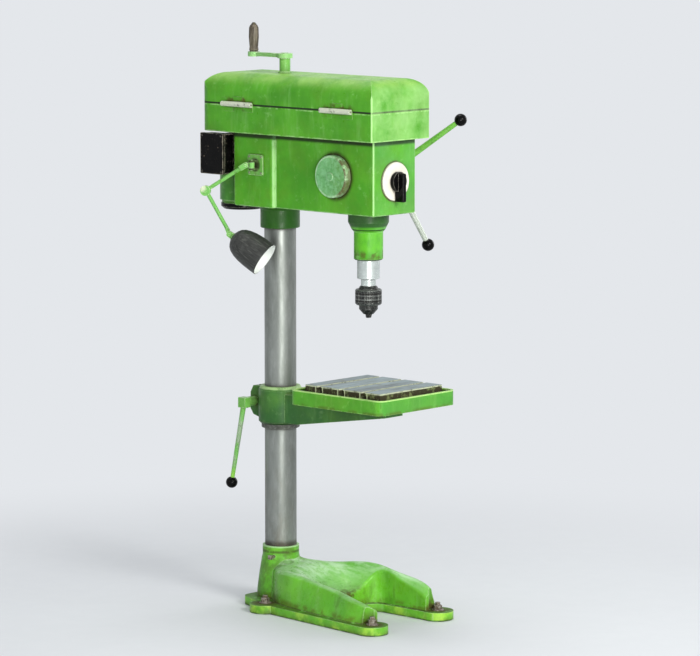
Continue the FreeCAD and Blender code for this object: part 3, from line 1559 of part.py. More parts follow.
def make_drive_belt():
    """V belt round the middle steps, clear of the grooves' walls."""
    run = 0.5
    front_r = size("drive_step_r + step_rise - groove + 4") + run
    rear_r = size("motor_step_r + step_rise - groove + 4") + run
    front = spot("0", "-spindle_y", "0")
    rear = spot("0", "motor_y", "0")
    span = (rear - front).Length
    tilt = math.asin((front_r - rear_r) / span)

    def loop(extra):
        one, two = front_r + extra, rear_r + extra
        right = Vector(math.cos(tilt), math.sin(tilt), 0)
        left = Vector(-math.cos(tilt), math.sin(tilt), 0)
        back, forth = Vector(0, 1, 0), Vector(0, -1, 0)
        return Part.Wire(
            [
                Part.Arc(front + left * one, front + forth * one, front + right * one).toShape(),
                Part.makeLine(front + right * one, rear + right * two),
                Part.Arc(rear + right * two, rear + back * two, rear + left * two).toShape(),
                Part.makeLine(rear + left * two, front + left * one),
            ]
        )

    half_in, half_out, depth = 3.6, 5.6, 7.4
    level = size("pulley_low + 1.5 * step_h")
    rings = []
    for extra, half in ((-3.2, half_in), (depth - 3.2, half_out)):
        rings.append((loop(extra), half))
    faces = []
    (inner, inner_half), (outer, outer_half) = rings
    lower_in = inner.translated(Vector(0, 0, level - inner_half))
    upper_in = inner.translated(Vector(0, 0, level + inner_half))
    lower_out = outer.translated(Vector(0, 0, level - outer_half))
    upper_out = outer.translated(Vector(0, 0, level + outer_half))
    ring_of = (lower_in, upper_in, upper_out, lower_out)
    for one, other in zip(ring_of, ring_of[1:] + ring_of[:1]):
        faces += Part.makeLoft([one, other], False, True).Faces
    solid = Part.Solid(Part.Shell(faces))
    if solid.Volume < 0:
        solid.reverse()
    belt = doc.addObject("Part::Feature", "DriveBelt")
    belt.Shape = solid
    return node("drive_belt", belt)


def make_motor():
    body = turned(
        "MotorHousing",
        [
            ("0", "motor_low"),
            ("motor_r - 6", "motor_low"),
            ("motor_r - 6", "motor_low + 8"),
            ("motor_r", "motor_low + 10"),
            ("motor_r", "motor_high - 16"),
            ("motor_r - 8", "motor_high - 4"),
            ("motor_r - 40", "motor_high"),
            ("motor_shaft_r + 4", "motor_high"),
            ("motor_shaft_r + 4", "motor_high - 20"),
            ("motor_shaft_r + fit", "motor_high - 20"),
            ("motor_shaft_r + fit", "motor_high - 61"),
            ("0", "motor_high - 61"),
        ],
        ("0", "motor_y", "0"),
    )
    return node("motor_housing", body)


def make_motor_cowl():
    outline = [
        ("0", "motor_low - cowl_t"),
        ("motor_r - 12", "motor_low - cowl_t"),
        ("motor_r - 3", "motor_low - cowl_t + 8"),
        ("motor_r - 3", "motor_low"),
        ("0", "motor_low"),
    ]
    return node("motor_cowl", turned("MotorCowl", outline, ("0", "motor_y", "0")))


def make_motor_bracket():
    """Saddle that holds the motor against the back of the head."""
    low = ("-motor_bolt_x - 13", "head_back", "motor_low + 36")
    plate = block(low, ("2 * motor_bolt_x + 26", "14", "motor_high - motor_low - 60"))
    plate = rounded(plate, "8", lambda edge: abs(edge.tangentAt(edge.FirstParameter).y) > 0.99)
    saddle = block(("-46", "head_back", "motor_low + 36"), ("92", "28", "motor_high - motor_low - 60"))
    hollow = rod("motor_r + fit", "motor_high - motor_low", ("0", "motor_y", "motor_low"))
    holes = [
        rod("5", "20", (x, "head_back - 1", z), ALONG_Y)
        for x in ("-motor_bolt_x", "motor_bolt_x")
        for z in ("motor_low + 56", "motor_high - 44")
    ]
    return node("motor_bracket", cut(fused(plate, saddle), hollow, *holes))


def make_motor_bolts():
    """Screws through the saddle's wings into the head's rear wall."""
    pieces = []
    for x in ("-motor_bolt_x", "motor_bolt_x"):
        for z in ("motor_low + 56", "motor_high - 44"):
            shank = rod("5 - snug", "14", (x, "head_back + 0.1", z), ALONG_Y)
            head = hexagon("17", "7", (x, "head_back + 14", z), ALONG_Y)
            pieces.append(fused(shank, head))
    return node("motor_bolts", group(*pieces))


def make_terminal_box():
    """Black box on the motor's left side, with a lipped lid."""
    deep = "(box_back - box_front)"
    tall = "(box_high - box_low)"
    case = block(("-box_x + 8", "box_front + 2", "box_low + 2"), ("42", f"{deep} - 4", f"{tall} - 4"))
    lid = block(("-box_x", "box_front", "box_low"), ("10", deep, tall))
    lid = rounded(lid, "4", lambda edge: abs(edge.tangentAt(edge.FirstParameter).x) > 0.99)
    neck = block(("-box_x + 44", "motor_y - 34", "box_low + 24"), ("60", "68", "68"))
    hollow = rod("motor_r + fit", "motor_high - motor_low", ("0", "motor_y", "motor_low"))
    return node("terminal_box", cut(fused(case, lid, neck), hollow))


# ---------------------------------------------------------------- hood
def hood_plan(inset, low, height):
    """A block of the hood's plan, with rounded rear corners."""
    body = new_body("HoodPlan")
    points = [
        (f"-hood_half + {inset}", f"-hood_front + {inset}"),
        (f"hood_half - {inset}", f"-hood_front + {inset}"),
        (f"hood_half - {inset}", f"hood_back - {inset}"),
        (f"-hood_half + {inset}", f"hood_back - {inset}"),
    ]
    pad(body, polygon(new_sketch(body, offset=low), points), height)

    def rear(edge):
        return upright(edge) and middle_of(edge).y > 0

    def front(edge):
        return upright(edge) and middle_of(edge).y < 0

    body_fillet(body, f"hood_rear_r - {inset}", rear)
    body_fillet(body, f"6 - {inset}", front)
    return body


def crowned(inset, role, reach, back, length):
    """A long block with two rounded upper edges, across the hood."""
    body = new_body("Crown")
    low = "hood_seam - 20"
    points = [
        (f"-({back}) + {inset}", low),
        (f"{reach} - {inset}", low),
        (f"{reach} - {inset}", f"hood_top - {inset}"),
        (f"-({back}) + {inset}", f"hood_top - {inset}"),
    ]
    pad(body, polygon(new_sketch(body, role, f"-({length}) / 2"), points), length)

    def upper(edge, sign):
        point = middle_of(edge)
        way = edge.tangentAt(edge.FirstParameter)
        run, side = (way.y, point.x) if role == "XZ_Plane" else (way.x, point.y)
        return abs(run) > 0.99 and point.z > size("hood_seam") and side * sign > 0

    rear = "hood_crown_r" if role == "XZ_Plane" else "hood_rear_crown_r"
    body_fillet(body, f"{rear} - {inset}", lambda edge: upper(edge, 1))
    body_fillet(body, f"hood_crown_r - {inset}", lambda edge: upper(edge, -1))
    return body


def hood_form(inset, low):
    """The lid's outside, or its inside when inset by the sheet."""
    plan = hood_plan(inset, low, f"hood_top + 1 - ({low})")
    across = crowned(inset, "XZ_Plane", "hood_half", "hood_half", "2 * hood_front + 400")
    along = crowned(inset, "YZ_Plane", "hood_back", "hood_front", "3 * hood_half")
    return common(plan, across, along)


def knuckle(start, length):
    """One barrel of a hinge, with its pin's hole."""
    at = ("-hinge_x", start, "hood_seam")
    before = ("-hinge_x", f"{start} - 1", "hood_seam")
    bore = rod("hinge_pin_r + fit", f"{length} + 2", before, ALONG_Y)
    return rod("hinge_r", length, at, ALONG_Y), bore


HINGES = ["(hinge_rear_y - hinge_len)", "(-hinge_front_y - hinge_len)"]


def make_hood_tray():
    """Sheet metal tray round the pulleys, with the fixed hinge barrels."""
    outer = hood_plan("0", "head_top", "hood_seam - head_top")
    inner = hood_plan("hood_wall", "head_top + hood_wall", "hood_seam - head_top")
    openings = [
        rod("quill_r + 26", "20", ("0", "-spindle_y", "head_top - 5")),
        rod("screw_collar_r", "20", ("0", "-screw_y", "head_top - 5")),
        rod("motor_shaft_r + 16", "20", ("0", "motor_y", "head_top - 5")),
        block(
            ("-motor_shaft_r - 16", "motor_y - 26", "head_top - 5"),
            ("2 * (motor_shaft_r + 16)", "26", "20"),
        ),
    ]
    tray = cut(outer, inner, *openings)
    barrels, holes = [], []
    third = "(hinge_len / 3)"
    for start in HINGES:
        for index in (0, 2):
            barrel, hole = knuckle(f"{start} + {index} * {third}", third)
            low = ("-hinge_x", f"{start} + {index} * {third}", "hood_seam - hinge_r")
            leaf = block(low, ("hinge_x - hood_half + 0.2", third, "hinge_r - gap"))
            plate = block(
                ("-hood_half - 2", f"{start} + {index} * {third}", "hood_seam - 22"),
                ("2.2", third, "22 - gap"),
            )
            barrels += [barrel, leaf, plate]
            holes.append(hole)
    return node("hood_tray", cut(fused(tray, *barrels), *holes))


def make_hinge_pins():
    pins = [
        rod("hinge_pin_r", "hinge_len", ("-hinge_x", start, "hood_seam"), ALONG_Y)
        for start in HINGES
    ]
    return node("hinge_pins", group(*pins))


def make_hood_lid():
    """Pressed lid with the moving hinge barrels and the crank's hole."""
    outer = hood_form("0", "hood_seam + gap")
    inner = hood_form("hood_wall", "hood_seam - 5")
    shell = cut(outer, inner)
    barrels, holes = [], []
    third = "(hinge_len / 3)"
    for start in HINGES:
        low = f"{start} + {third} + gap"
        barrel, hole = knuckle(low, f"{third} - 2 * gap")
        leaf = block(
            ("-hinge_x", low, "hood_seam + gap"),
            ("hinge_x - hood_half + 0.2", f"{third} - 2 * gap", "hinge_r - gap"),
        )
        plate = block(("-hood_half - 2", low, "hood_seam + gap"), ("2.2", f"{third} - 2 * gap", "22"))
        barrels += [barrel, leaf, plate]
        holes.append(hole)
    boss_hole = rod("crank_boss_r + snug", "20", ("0", "-screw_y", "hood_top - 10"))
    return node("hood_lid", cut(fused(shell, *barrels), boss_hole, *holes))


def make_crank_bush():
    """Boss in the lid that the crank's shaft turns in."""
    outline = [
        ("crank_post_r + fit", "hood_top - 42"),
        ("crank_boss_r", "hood_top - 42"),
        ("crank_boss_r", "hood_top - hood_wall - 5"),
        ("crank_boss_r + 9", "hood_top - hood_wall - 5"),
        ("crank_boss_r + 9", "hood_top - hood_wall"),
        ("crank_boss_r", "hood_top - hood_wall"),
        ("crank_boss_r", "hood_top"),
        ("crank_boss_r + 4", "hood_top"),
        ("crank_boss_r + 4", "hood_top + 3"),
        ("crank_boss_r", "hood_top + 6"),
        ("crank_boss_r", "crank_boss_top"),
        ("crank_post_r + fit", "crank_boss_top"),
    ]
    return node("crank_bush", turned("CrankBush", outline, SCREW_AXIS))


# ---------------------------------------------------------------- crank
def make_crank_post():
    """Shaft through the lid, slotted at its foot for the screw's tang."""
    shaft = turned(
        "CrankShaft",
        [
            ("0", "tang_z + gap"),
            ("crank_post_r + 3", "tang_z + gap"),
            ("crank_post_r + 3", "tang_z + 24"),
            ("crank_post_r", "tang_z + 28"),
            ("crank_post_r", "hood_top - 52"),
            ("crank_post_r + 4", "hood_top - 52"),
            ("crank_post_r + 4", "hood_top - 42 - gap"),
            ("crank_post_r", "hood_top - 42 - gap"),
            ("crank_post_r", "crank_boss_top + crank_arm_t + 2"),
            ("0", "crank_boss_top + crank_arm_t + 2"),
        ],
        SCREW_AXIS,
    )
    slot = block(
        ("-crank_post_r - 5", "-screw_y - tang_t / 2 - gap", "tang_z - 2"),
        ("2 * crank_post_r + 10", "tang_t + 2 * gap", "tang_h + 4"),
    )
    return node("crank_post", cut(shaft, slot))


def make_crank_arm():
    low = "(crank_boss_top + gap)"
    grip_y = "-screw_y + crank_len"
    hub = rod("24", "crank_arm_t", ("0", "-screw_y", low))
    end = rod("grip_r + 3", "crank_arm_t", ("0", grip_y, low))
    body = new_body("CrankBar", SCREW_AXIS)
    bar = polygon(
        new_sketch(body, offset=f"{low} + 1.5"),
        [("-12", "0"), ("12", "0"), ("8.5", "crank_len"), ("-8.5", "crank_len")],
    )
    pad(body, bar, "crank_arm_t - 3")
    pin = rod("5", "grip_len + crank_arm_t + 6", ("0", grip_y, f"{low} + 1"))
    cap = rod("8", "3", ("0", grip_y, f"{low} + crank_arm_t + gap + grip_len + gap"))
    hole = rod("crank_post_r + snug", "40", ("0", "-screw_y", f"{low} - 5"))
    return node("crank_arm", cut(fused(hub, end, body, pin, cap), hole))


def make_crank_grip():
    """Waisted handle that turns freely on the crank's pin."""
    low = "(crank_boss_top + gap + crank_arm_t + gap)"
    outline = [
        ("5 + fit", low),
        ("grip_r - 4", low),
        ("grip_r - 1", f"{low} + 5"),
        ("grip_r - 2.5", f"{low} + 14"),
        ("grip_r", f"{low} + grip_len * 0.55"),
        ("grip_r - 1", f"{low} + grip_len - 10"),
        ("grip_r - 4", f"{low} + grip_len - 3"),
        ("9.5", f"{low} + grip_len"),
        ("5 + fit", f"{low} + grip_len"),
    ]
    at = ("0", "-screw_y + crank_len", "0")
    return node("crank_grip", turned("CrankGrip", outline, at))


def make_elevating_screw():
    """Screw from the head down into the column's nut."""
    shaft = turned(
        "ElevatingScrew",
        [
            ("0", "screw_low"),
            ("screw_r - 3", "screw_low"),
            ("screw_r", "screw_low + 3"),
            ("screw_r", "column_web - 18"),
            ("screw_collar_r", "column_web - 18"),
            ("screw_collar_r", "column_web - 8 - gap"),
            ("screw_journal_r", "column_web - 8 - gap"),
            ("screw_journal_r", "tang_z"),
            ("0", "tang_z"),
        ],
        SCREW_AXIS,
    )
    tang = block(
        ("-screw_journal_r", "-screw_y - tang_t / 2", "tang_z - 1"),
        ("2 * screw_journal_r", "tang_t", "tang_h + 1"),
    )
    return node("elevating_screw", fused(shaft, tang))


def make_screw_bearing():
    rim = ("screw_journal_r + 1", "screw_collar_r + 2")
    bearing = ring("ThrustBearing", *rim, "column_web - 8", "column_web", SCREW_AXIS)
    return node("screw_bearing", bearing)


# ---------------------------------------------------------------- lamp
def lamp_geometry():
    """Pins and directions of the lamp's parts, from the sheet."""
    outward = Vector(-0.53, 0.85, 0).normalize()
    across = Vector(0, 0, 1).cross(outward)
    drop = math.radians(32.5)
    fall = math.radians(60.5)
    swivel = spot("-rear_half - lamp_plate_t - lamp_pivot_out", "lamp_y", "lamp_z")
    shoulder = swivel + outward * size("lamp_shoulder_out")
    along_1 = outward * math.cos(drop) - Vector(0, 0, math.sin(drop))
    elbow = shoulder + along_1 * size("lamp_arm_1")
    along_2 = outward * -math.cos(fall) - Vector(0, 0, math.sin(fall))
    wrist = elbow + along_2 * size("lamp_arm_2")
    heading = math.radians(-66.4)
    dip = math.radians(33)
    beam = Vector(
        math.cos(heading) * math.cos(dip), math.sin(heading) * math.cos(dip), -math.sin(dip)
    )
    return {
        "outward": outward,
        "across": across,
        "swivel": swivel,
        "shoulder": shoulder,
        "along_1": along_1,
        "elbow": elbow,
        "along_2": along_2,
        "wrist": wrist,
        "beam": beam,
    }


def settle(thing, where, turn):
    """Gives a piece that was made in its own frame its final place."""
    thing.Placement = Placement(where, turn)
    return thing


def make_lamp_plate():
    """Plate on the head with two lugs for the swivel pin."""
    half = "lamp_plate_w / 2"
    plate = block(
        ("-rear_half - lamp_plate_t", f"lamp_y - {half}", f"lamp_z - {half}"),
        ("lamp_plate_t", "lamp_plate_w", "lamp_plate_w"),
    )
    plate = rounded(plate, "6", lambda edge: abs(edge.tangentAt(edge.FirstParameter).x) > 0.99)
    out = "-rear_half - lamp_plate_t - lamp_pivot_out"
    lugs = []
    for low in ("lamp_z + 9", "lamp_z - 15"):
        lugs.append(rod("9", "6", (out, "lamp_y", low)))
        lugs.append(block((out, "lamp_y - 9", low), ("lamp_pivot_out + 1", "18", "6")))
    hole = rod("lamp_pin_r + fit", "40", (out, "lamp_y", "lamp_z - 20"))
    return node("lamp_plate", cut(fused(plate, *lugs), hole))


def make_lamp_swivel():
    """Barrel between the lugs, with its pin and an ear for the arm."""
    place_of = lamp_geometry()
    barrel = rod("9", "18 - 2 * gap", ("0", "0", "-9 + gap"))
    pin = rod("lamp_pin_r", "34", ("0", "0", "-17"))
    ear_rod = rod("8.5", "6", ("lamp_shoulder_out", "-3", "0"), ALONG_Y)
    web = block(("0", "-3", "-7"), ("lamp_shoulder_out", "6", "14"))
    hole = rod("lamp_pin_r + fit", "20", ("lamp_shoulder_out", "-10", "0"), ALONG_Y)
    swivel = cut(fused(barrel, pin, ear_rod, web), hole)
    settle(swivel, place_of["swivel"], frame_of(place_of["outward"], place_of["across"]))
    return node("lamp_swivel", swivel)


def fork(length):
    """Two cheeks on a pin at the origin, joined beyond the ear."""
    pieces = []
    for low in ("3 + gap", "-9 - gap"):
        pieces.append(rod("9", "6", ("0", low, "0"), ALONG_Y))
        pieces.append(block(("0", low, "-8"), (length, "6", "16")))
    pieces.append(rod("lamp_pin_r", "24", ("0", "-12", "0"), ALONG_Y))
    return pieces


def make_lamp_arm_lower():
    place_of = lamp_geometry()
    cheeks = fork("18")
    bridge = block(("13", "-9 - gap", "-8"), ("7", "18 + 2 * gap", "16"))
    tube = rod("lamp_arm_r", "lamp_arm_1 - 22", ("16", "0", "0"), ALONG_X)
    disc = rod("16", "7", ("lamp_arm_1", "0.2", "0"), ALONG_Y)
    lap = block(("lamp_arm_1 - 22", "0.2", "-6"), ("14", "6", "12"))
    pin = rod("5", "20", ("lamp_arm_1", "-11", "0"), ALONG_Y)
    keep = block(("lamp_arm_1 - 16", "-8", "-8"), ("40", "8.2", "16"))
    arm = fused(cut(fused(*cheeks, bridge, tube), keep), disc, lap, pin)
    settle(arm, place_of["shoulder"], frame_of(place_of["along_1"], place_of["across"]))
    return node("lamp_arm_lower", arm)


def make_lamp_arm_upper():
    place_of = lamp_geometry()
    disc = rod("16", "7", ("0", "-7.2", "0"), ALONG_Y)
    tube = rod("lamp_arm_r", "lamp_arm_2 - 22", ("10", "-6.5", "0"), ALONG_X)
    ear = rod("8.5", "6", ("lamp_arm_2", "-3", "0"), ALONG_Y)
    web = block(("lamp_arm_2 - 20", "-9", "-6"), ("20", "9", "12"))
    trim = block(("lamp_arm_2 - 10.5", "-12", "-10"), ("30", "9", "20"))
    hole_1 = rod("5 + fit", "30", ("0", "-15", "0"), ALONG_Y)
    hole_2 = rod("lamp_pin_r + fit", "30", ("lamp_arm_2", "-15", "0"), ALONG_Y)
    clear = block(("-20", "-0.2", "-20"), ("44", "20", "40"))
    neck = block(("lamp_arm_2 - 12", "-3", "-6"), ("12", "6", "12"))
    arm = cut(fused(cut(fused(disc, tube, web), trim, clear), ear, neck), hole_1, hole_2)
    settle(arm, place_of["elbow"], frame_of(place_of["along_2"], place_of["across"]))
    return node("lamp_arm_upper", arm)


def beam_frame():
    place_of = lamp_geometry()
    return Rotation(Vector(0, 0, 1), place_of["beam"])


def make_lamp_socket():
    """Fork on the arm's ear, with the bulb holder behind the shade."""
    place_of = lamp_geometry()
    across = place_of["across"]
    level = place_of["beam"] - across * place_of["beam"].dot(across)
    cheeks = []
    for low in ("3 + gap", "-7 - gap"):
        cheeks.append(rod("9", "4", ("0", low, "0"), ALONG_Y))
        cheeks.append(block(("0", low, "-9"), ("14", "4", "18")))
    cheeks.append(rod("lamp_pin_r", "20", ("0", "-10", "0"), ALONG_Y))
    yoke = fused(*cheeks, rod("9", "4", ("10", "0", "0"), ALONG_X))
    settle(yoke, place_of["wrist"], frame_of(level, across))
    turn = beam_frame()
    base = settle(rod("12", "5"), place_of["wrist"] + place_of["beam"] * 11.5, turn)
    start = place_of["wrist"] + place_of["beam"] * size("shade_start - 1")
    holder = settle(rod("holder_r", "24"), start, turn)
    hollow_at = place_of["wrist"] + place_of["beam"] * size("shade_start + 12")
    hollow = settle(rod("11", "14"), hollow_at, turn)
    return node("lamp_socket", cut(fused(yoke, base, holder), hollow))


# share of the shade's length, share of its radius beyond the holder
SHADE_SHARES = [
    (0, 0),
    (0.03, 0.2125),
    (0.08, 0.4408),
    (0.16, 0.6338),
    (0.28, 0.7959),
    (0.44, 0.9118),
    (0.62, 0.9737),
    (0.81, 0.9967),
    (1, 1),
]


def make_lamp_shade():
    place_of = lamp_geometry()
    outside, inside = [], []
    for along, out in SHADE_SHARES:
        radius = f"holder_r + snug + (shade_r - shade_t - holder_r - snug) * {out}"
        height = f"shade_start + shade_len * {along}"
        inside.append((radius, height))
        outside.append((f"{radius} + shade_t", height))
    shade = turned("LampShade", outside + inside[::-1])
    settle(shade, place_of["wrist"], beam_frame())
    return node("lamp_shade", shade)


def make_lamp_bulb():
    place_of = lamp_geometry()
    outline = [
        ("0", "shade_start + 13"),
        ("10.9", "shade_start + 13"),
        ("10.9", "shade_start + 26"),
        ("16", "shade_start + 40"),
        ("24", "shade_start + 58"),
        ("27", "shade_start + 72"),
        ("22", "shade_start + 87"),
        ("11", "shade_start + 96"),
        ("0", "shade_start + 98"),
    ]
    bulb = turned("LampBulb", outline)
    settle(bulb, place_of["wrist"], beam_frame())
    return node("lamp_bulb", bulb)


# ---------------------------------------------------------------- build
def build():
    for make in (
        make_base_casting,
        make_anchor_bolts,
        make_base_set_screw,
        make_column,
        make_column_nut,
        make_support_collar,
        make_collar_screw,
        make_table_bracket,
        make_work_table,
        make_table_bolts,
        make_clamp_nut,
        make_clamp_stud,
        make_clamp_lever,
        make_clamp_knob,
        make_head_casting,
        make_spring_housing,
        make_return_spring,
        make_switch_plate,
        make_switch_knob,
        make_quill,
        make_quill_bearings,
        make_spindle,
        make_chuck_body,
        make_chuck_sleeve,
        make_chuck_jaws,
        make_pinion_shaft,
        make_depth_ring,
        make_capstan_hub,
        make_capstan_spokes,
        make_capstan_knobs,
        make_bearing_housing,
        make_pulley_bearings,
        make_drive_sleeve,
        make_spindle_pulley,
        make_motor_pulley,
        make_motor_shaft,
        make_drive_belt,
        make_motor,
        make_motor_cowl,
        make_motor_bracket,
        make_motor_bolts,
        make_terminal_box,
        make_hood_tray,
        make_hinge_pins,
        make_hood_lid,
        make_crank_bush,
        make_crank_post,
        make_crank_arm,
        make_crank_grip,
        make_elevating_screw,
        make_screw_bearing,
        make_lamp_plate,
        make_lamp_swivel,
        make_lamp_arm_lower,
        make_lamp_arm_upper,
        make_lamp_socket,
        make_lamp_shade,
        make_lamp_bulb,
    ):
        make()
    doc.recompute()


def check():
    """Stops if any object failed, or a sub-part is empty or broken."""
    for thing in doc.Objects:
        if {"Invalid", "Error"} & set(thing.State):
            raise RuntimeError(f"{thing.Name} ({thing.Label}) failed: {thing.State}")
    for thing in NODES:
        shape = thing.Shape
        if shape.isNull() or not shape.isValid() or not shape.Solids:
            raise RuntimeError(f"{thing.Label} has no valid solid")


def export():
    os.makedirs("parts", exist_ok=True)
    for thing in NODES:
        thing.Shape.exportStep(os.path.join("parts", thing.Label + ".step"))
        box = thing.Shape.BoundBox
        print(
            f"{thing.Label:18s} solids {len(thing.Shape.Solids)}  "
            f"x {box.XMin:8.1f} {box.XMax:8.1f}  y {box.YMin:8.1f} {box.YMax:8.1f}  "
            f"z {box.ZMin:8.1f} {box.ZMax:8.1f}"
        )


build()
check()
export()
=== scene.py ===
"""Floor standing pillar drill: camera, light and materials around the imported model."""

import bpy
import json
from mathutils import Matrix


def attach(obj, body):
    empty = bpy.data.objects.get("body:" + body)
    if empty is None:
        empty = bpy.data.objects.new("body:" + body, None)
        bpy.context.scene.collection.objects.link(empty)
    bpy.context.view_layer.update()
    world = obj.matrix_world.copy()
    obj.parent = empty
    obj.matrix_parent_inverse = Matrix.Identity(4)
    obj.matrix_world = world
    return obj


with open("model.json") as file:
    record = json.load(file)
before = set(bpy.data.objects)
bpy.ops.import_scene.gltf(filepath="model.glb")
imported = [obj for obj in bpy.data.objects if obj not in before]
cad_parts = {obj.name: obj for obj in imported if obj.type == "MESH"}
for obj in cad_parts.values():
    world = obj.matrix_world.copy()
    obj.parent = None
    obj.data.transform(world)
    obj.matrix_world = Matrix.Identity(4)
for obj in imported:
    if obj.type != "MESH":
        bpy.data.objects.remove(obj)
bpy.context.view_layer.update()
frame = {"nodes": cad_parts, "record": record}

import json
from functools import partial
from math import cos, pi, radians, sin

import bmesh
import bpy
from mathutils import Matrix, Vector

NODES = frame["nodes"]


# ---------------------------------------------------------------- camera and light

WIDTH, HEIGHT = 700, 656
FOCAL_PX = 3899.14
CENTRE_PX = (WIDTH / 2, HEIGHT / 2)
AZIMUTH, ELEVATION = radians(47.34), radians(7.53)
DISTANCE = 12.23427
TARGET, TARGET_PX = Vector((0.0, 0.0, 0.9)), (280.4, 320.85)

# Name, place, point aimed at, size, power, colour.
LIGHTS = (
    ("key", (-1.0, -5.7, 3.6), (0, -0.1, 0.9), (1.8, 1.8), 255, (1.0, 0.99, 0.96)),
    ("strip", (-4.3, -5.6, 1.25), (0, -0.1, 1.0), (1.8, 2.2), 250, (1.0, 1.0, 0.98)),
    ("fill", (-5.6, 0.2, 2.2), (0, 0, 0.9), (2.4, 2.4), 30, (0.94, 0.97, 1.0)),
    ("side", (5.4, -0.8, 2.4), (0, -0.1, 0.9), (2.4, 2.4), 60, (1, 1, 1)),
    ("top", (0.4, 0.6, 5.6), (0, -0.1, 1.0), (2.4, 2.4), 100, (1, 1, 1)),
)


def axes_at(right, up, out, place):
    """The matrix that sets an object's x, y and z along three axes, at a place."""
    return Matrix((
        (right.x, up.x, out.x, place.x),
        (right.y, up.y, out.y, place.y),
        (right.z, up.z, out.z, place.z),
        (0, 0, 0, 1)))


def make_camera():
    back = Vector((-sin(AZIMUTH) * cos(ELEVATION), -cos(AZIMUTH) * cos(ELEVATION), sin(ELEVATION)))
    right = Vector((cos(AZIMUTH), -sin(AZIMUTH), 0.0))
    up = back.cross(right)
    place = (TARGET + back * DISTANCE
             - right * ((TARGET_PX[0] - CENTRE_PX[0]) / FOCAL_PX * DISTANCE)
             + up * ((TARGET_PX[1] - CENTRE_PX[1]) / FOCAL_PX * DISTANCE))
    data = bpy.data.cameras.new("camera")
    data.sensor_width = 36.0
    data.lens = FOCAL_PX / WIDTH * data.sensor_width
    data.clip_start, data.clip_end = 0.1, 400.0
    camera = bpy.data.objects.new("camera", data)
    camera.matrix_world = axes_at(right, up, back, place)
    bpy.context.scene.collection.objects.link(camera)
    bpy.context.scene.camera = camera


def area_light(name, place, aim, size, power, colour):
    data = bpy.data.lights.new(name, "AREA")
    data.shape, data.energy, data.color = "RECTANGLE", power, colour
    data.size, data.size_y = size
    lamp = bpy.data.objects.new(name, data)
    lamp.location = place
    lamp.rotation_euler = (Vector(aim) - Vector(place)).to_track_quat("-Z", "Y").to_euler()
    bpy.context.scene.collection.objects.link(lamp)


# ---------------------------------------------------------------- shader helpers

RGBA_A, RGBA_B, RGBA_RESULT = 6, 7, 2    # the Mix node's sockets for colours
FLOAT_A, FLOAT_B = 2, 3                  # and for numbers
SOFT = 0.0008                            # how far a mark's edge fades, in metres


def srgb(r, g, b):
    """A colour given as 0-255 screen values, as the shader's linear numbers."""
    def linear(v):
        v /= 255.0
        return v / 12.92 if v <= 0.04045 else ((v + 0.055) / 1.055) ** 2.4
    return (linear(r), linear(g), linear(b), 1.0)


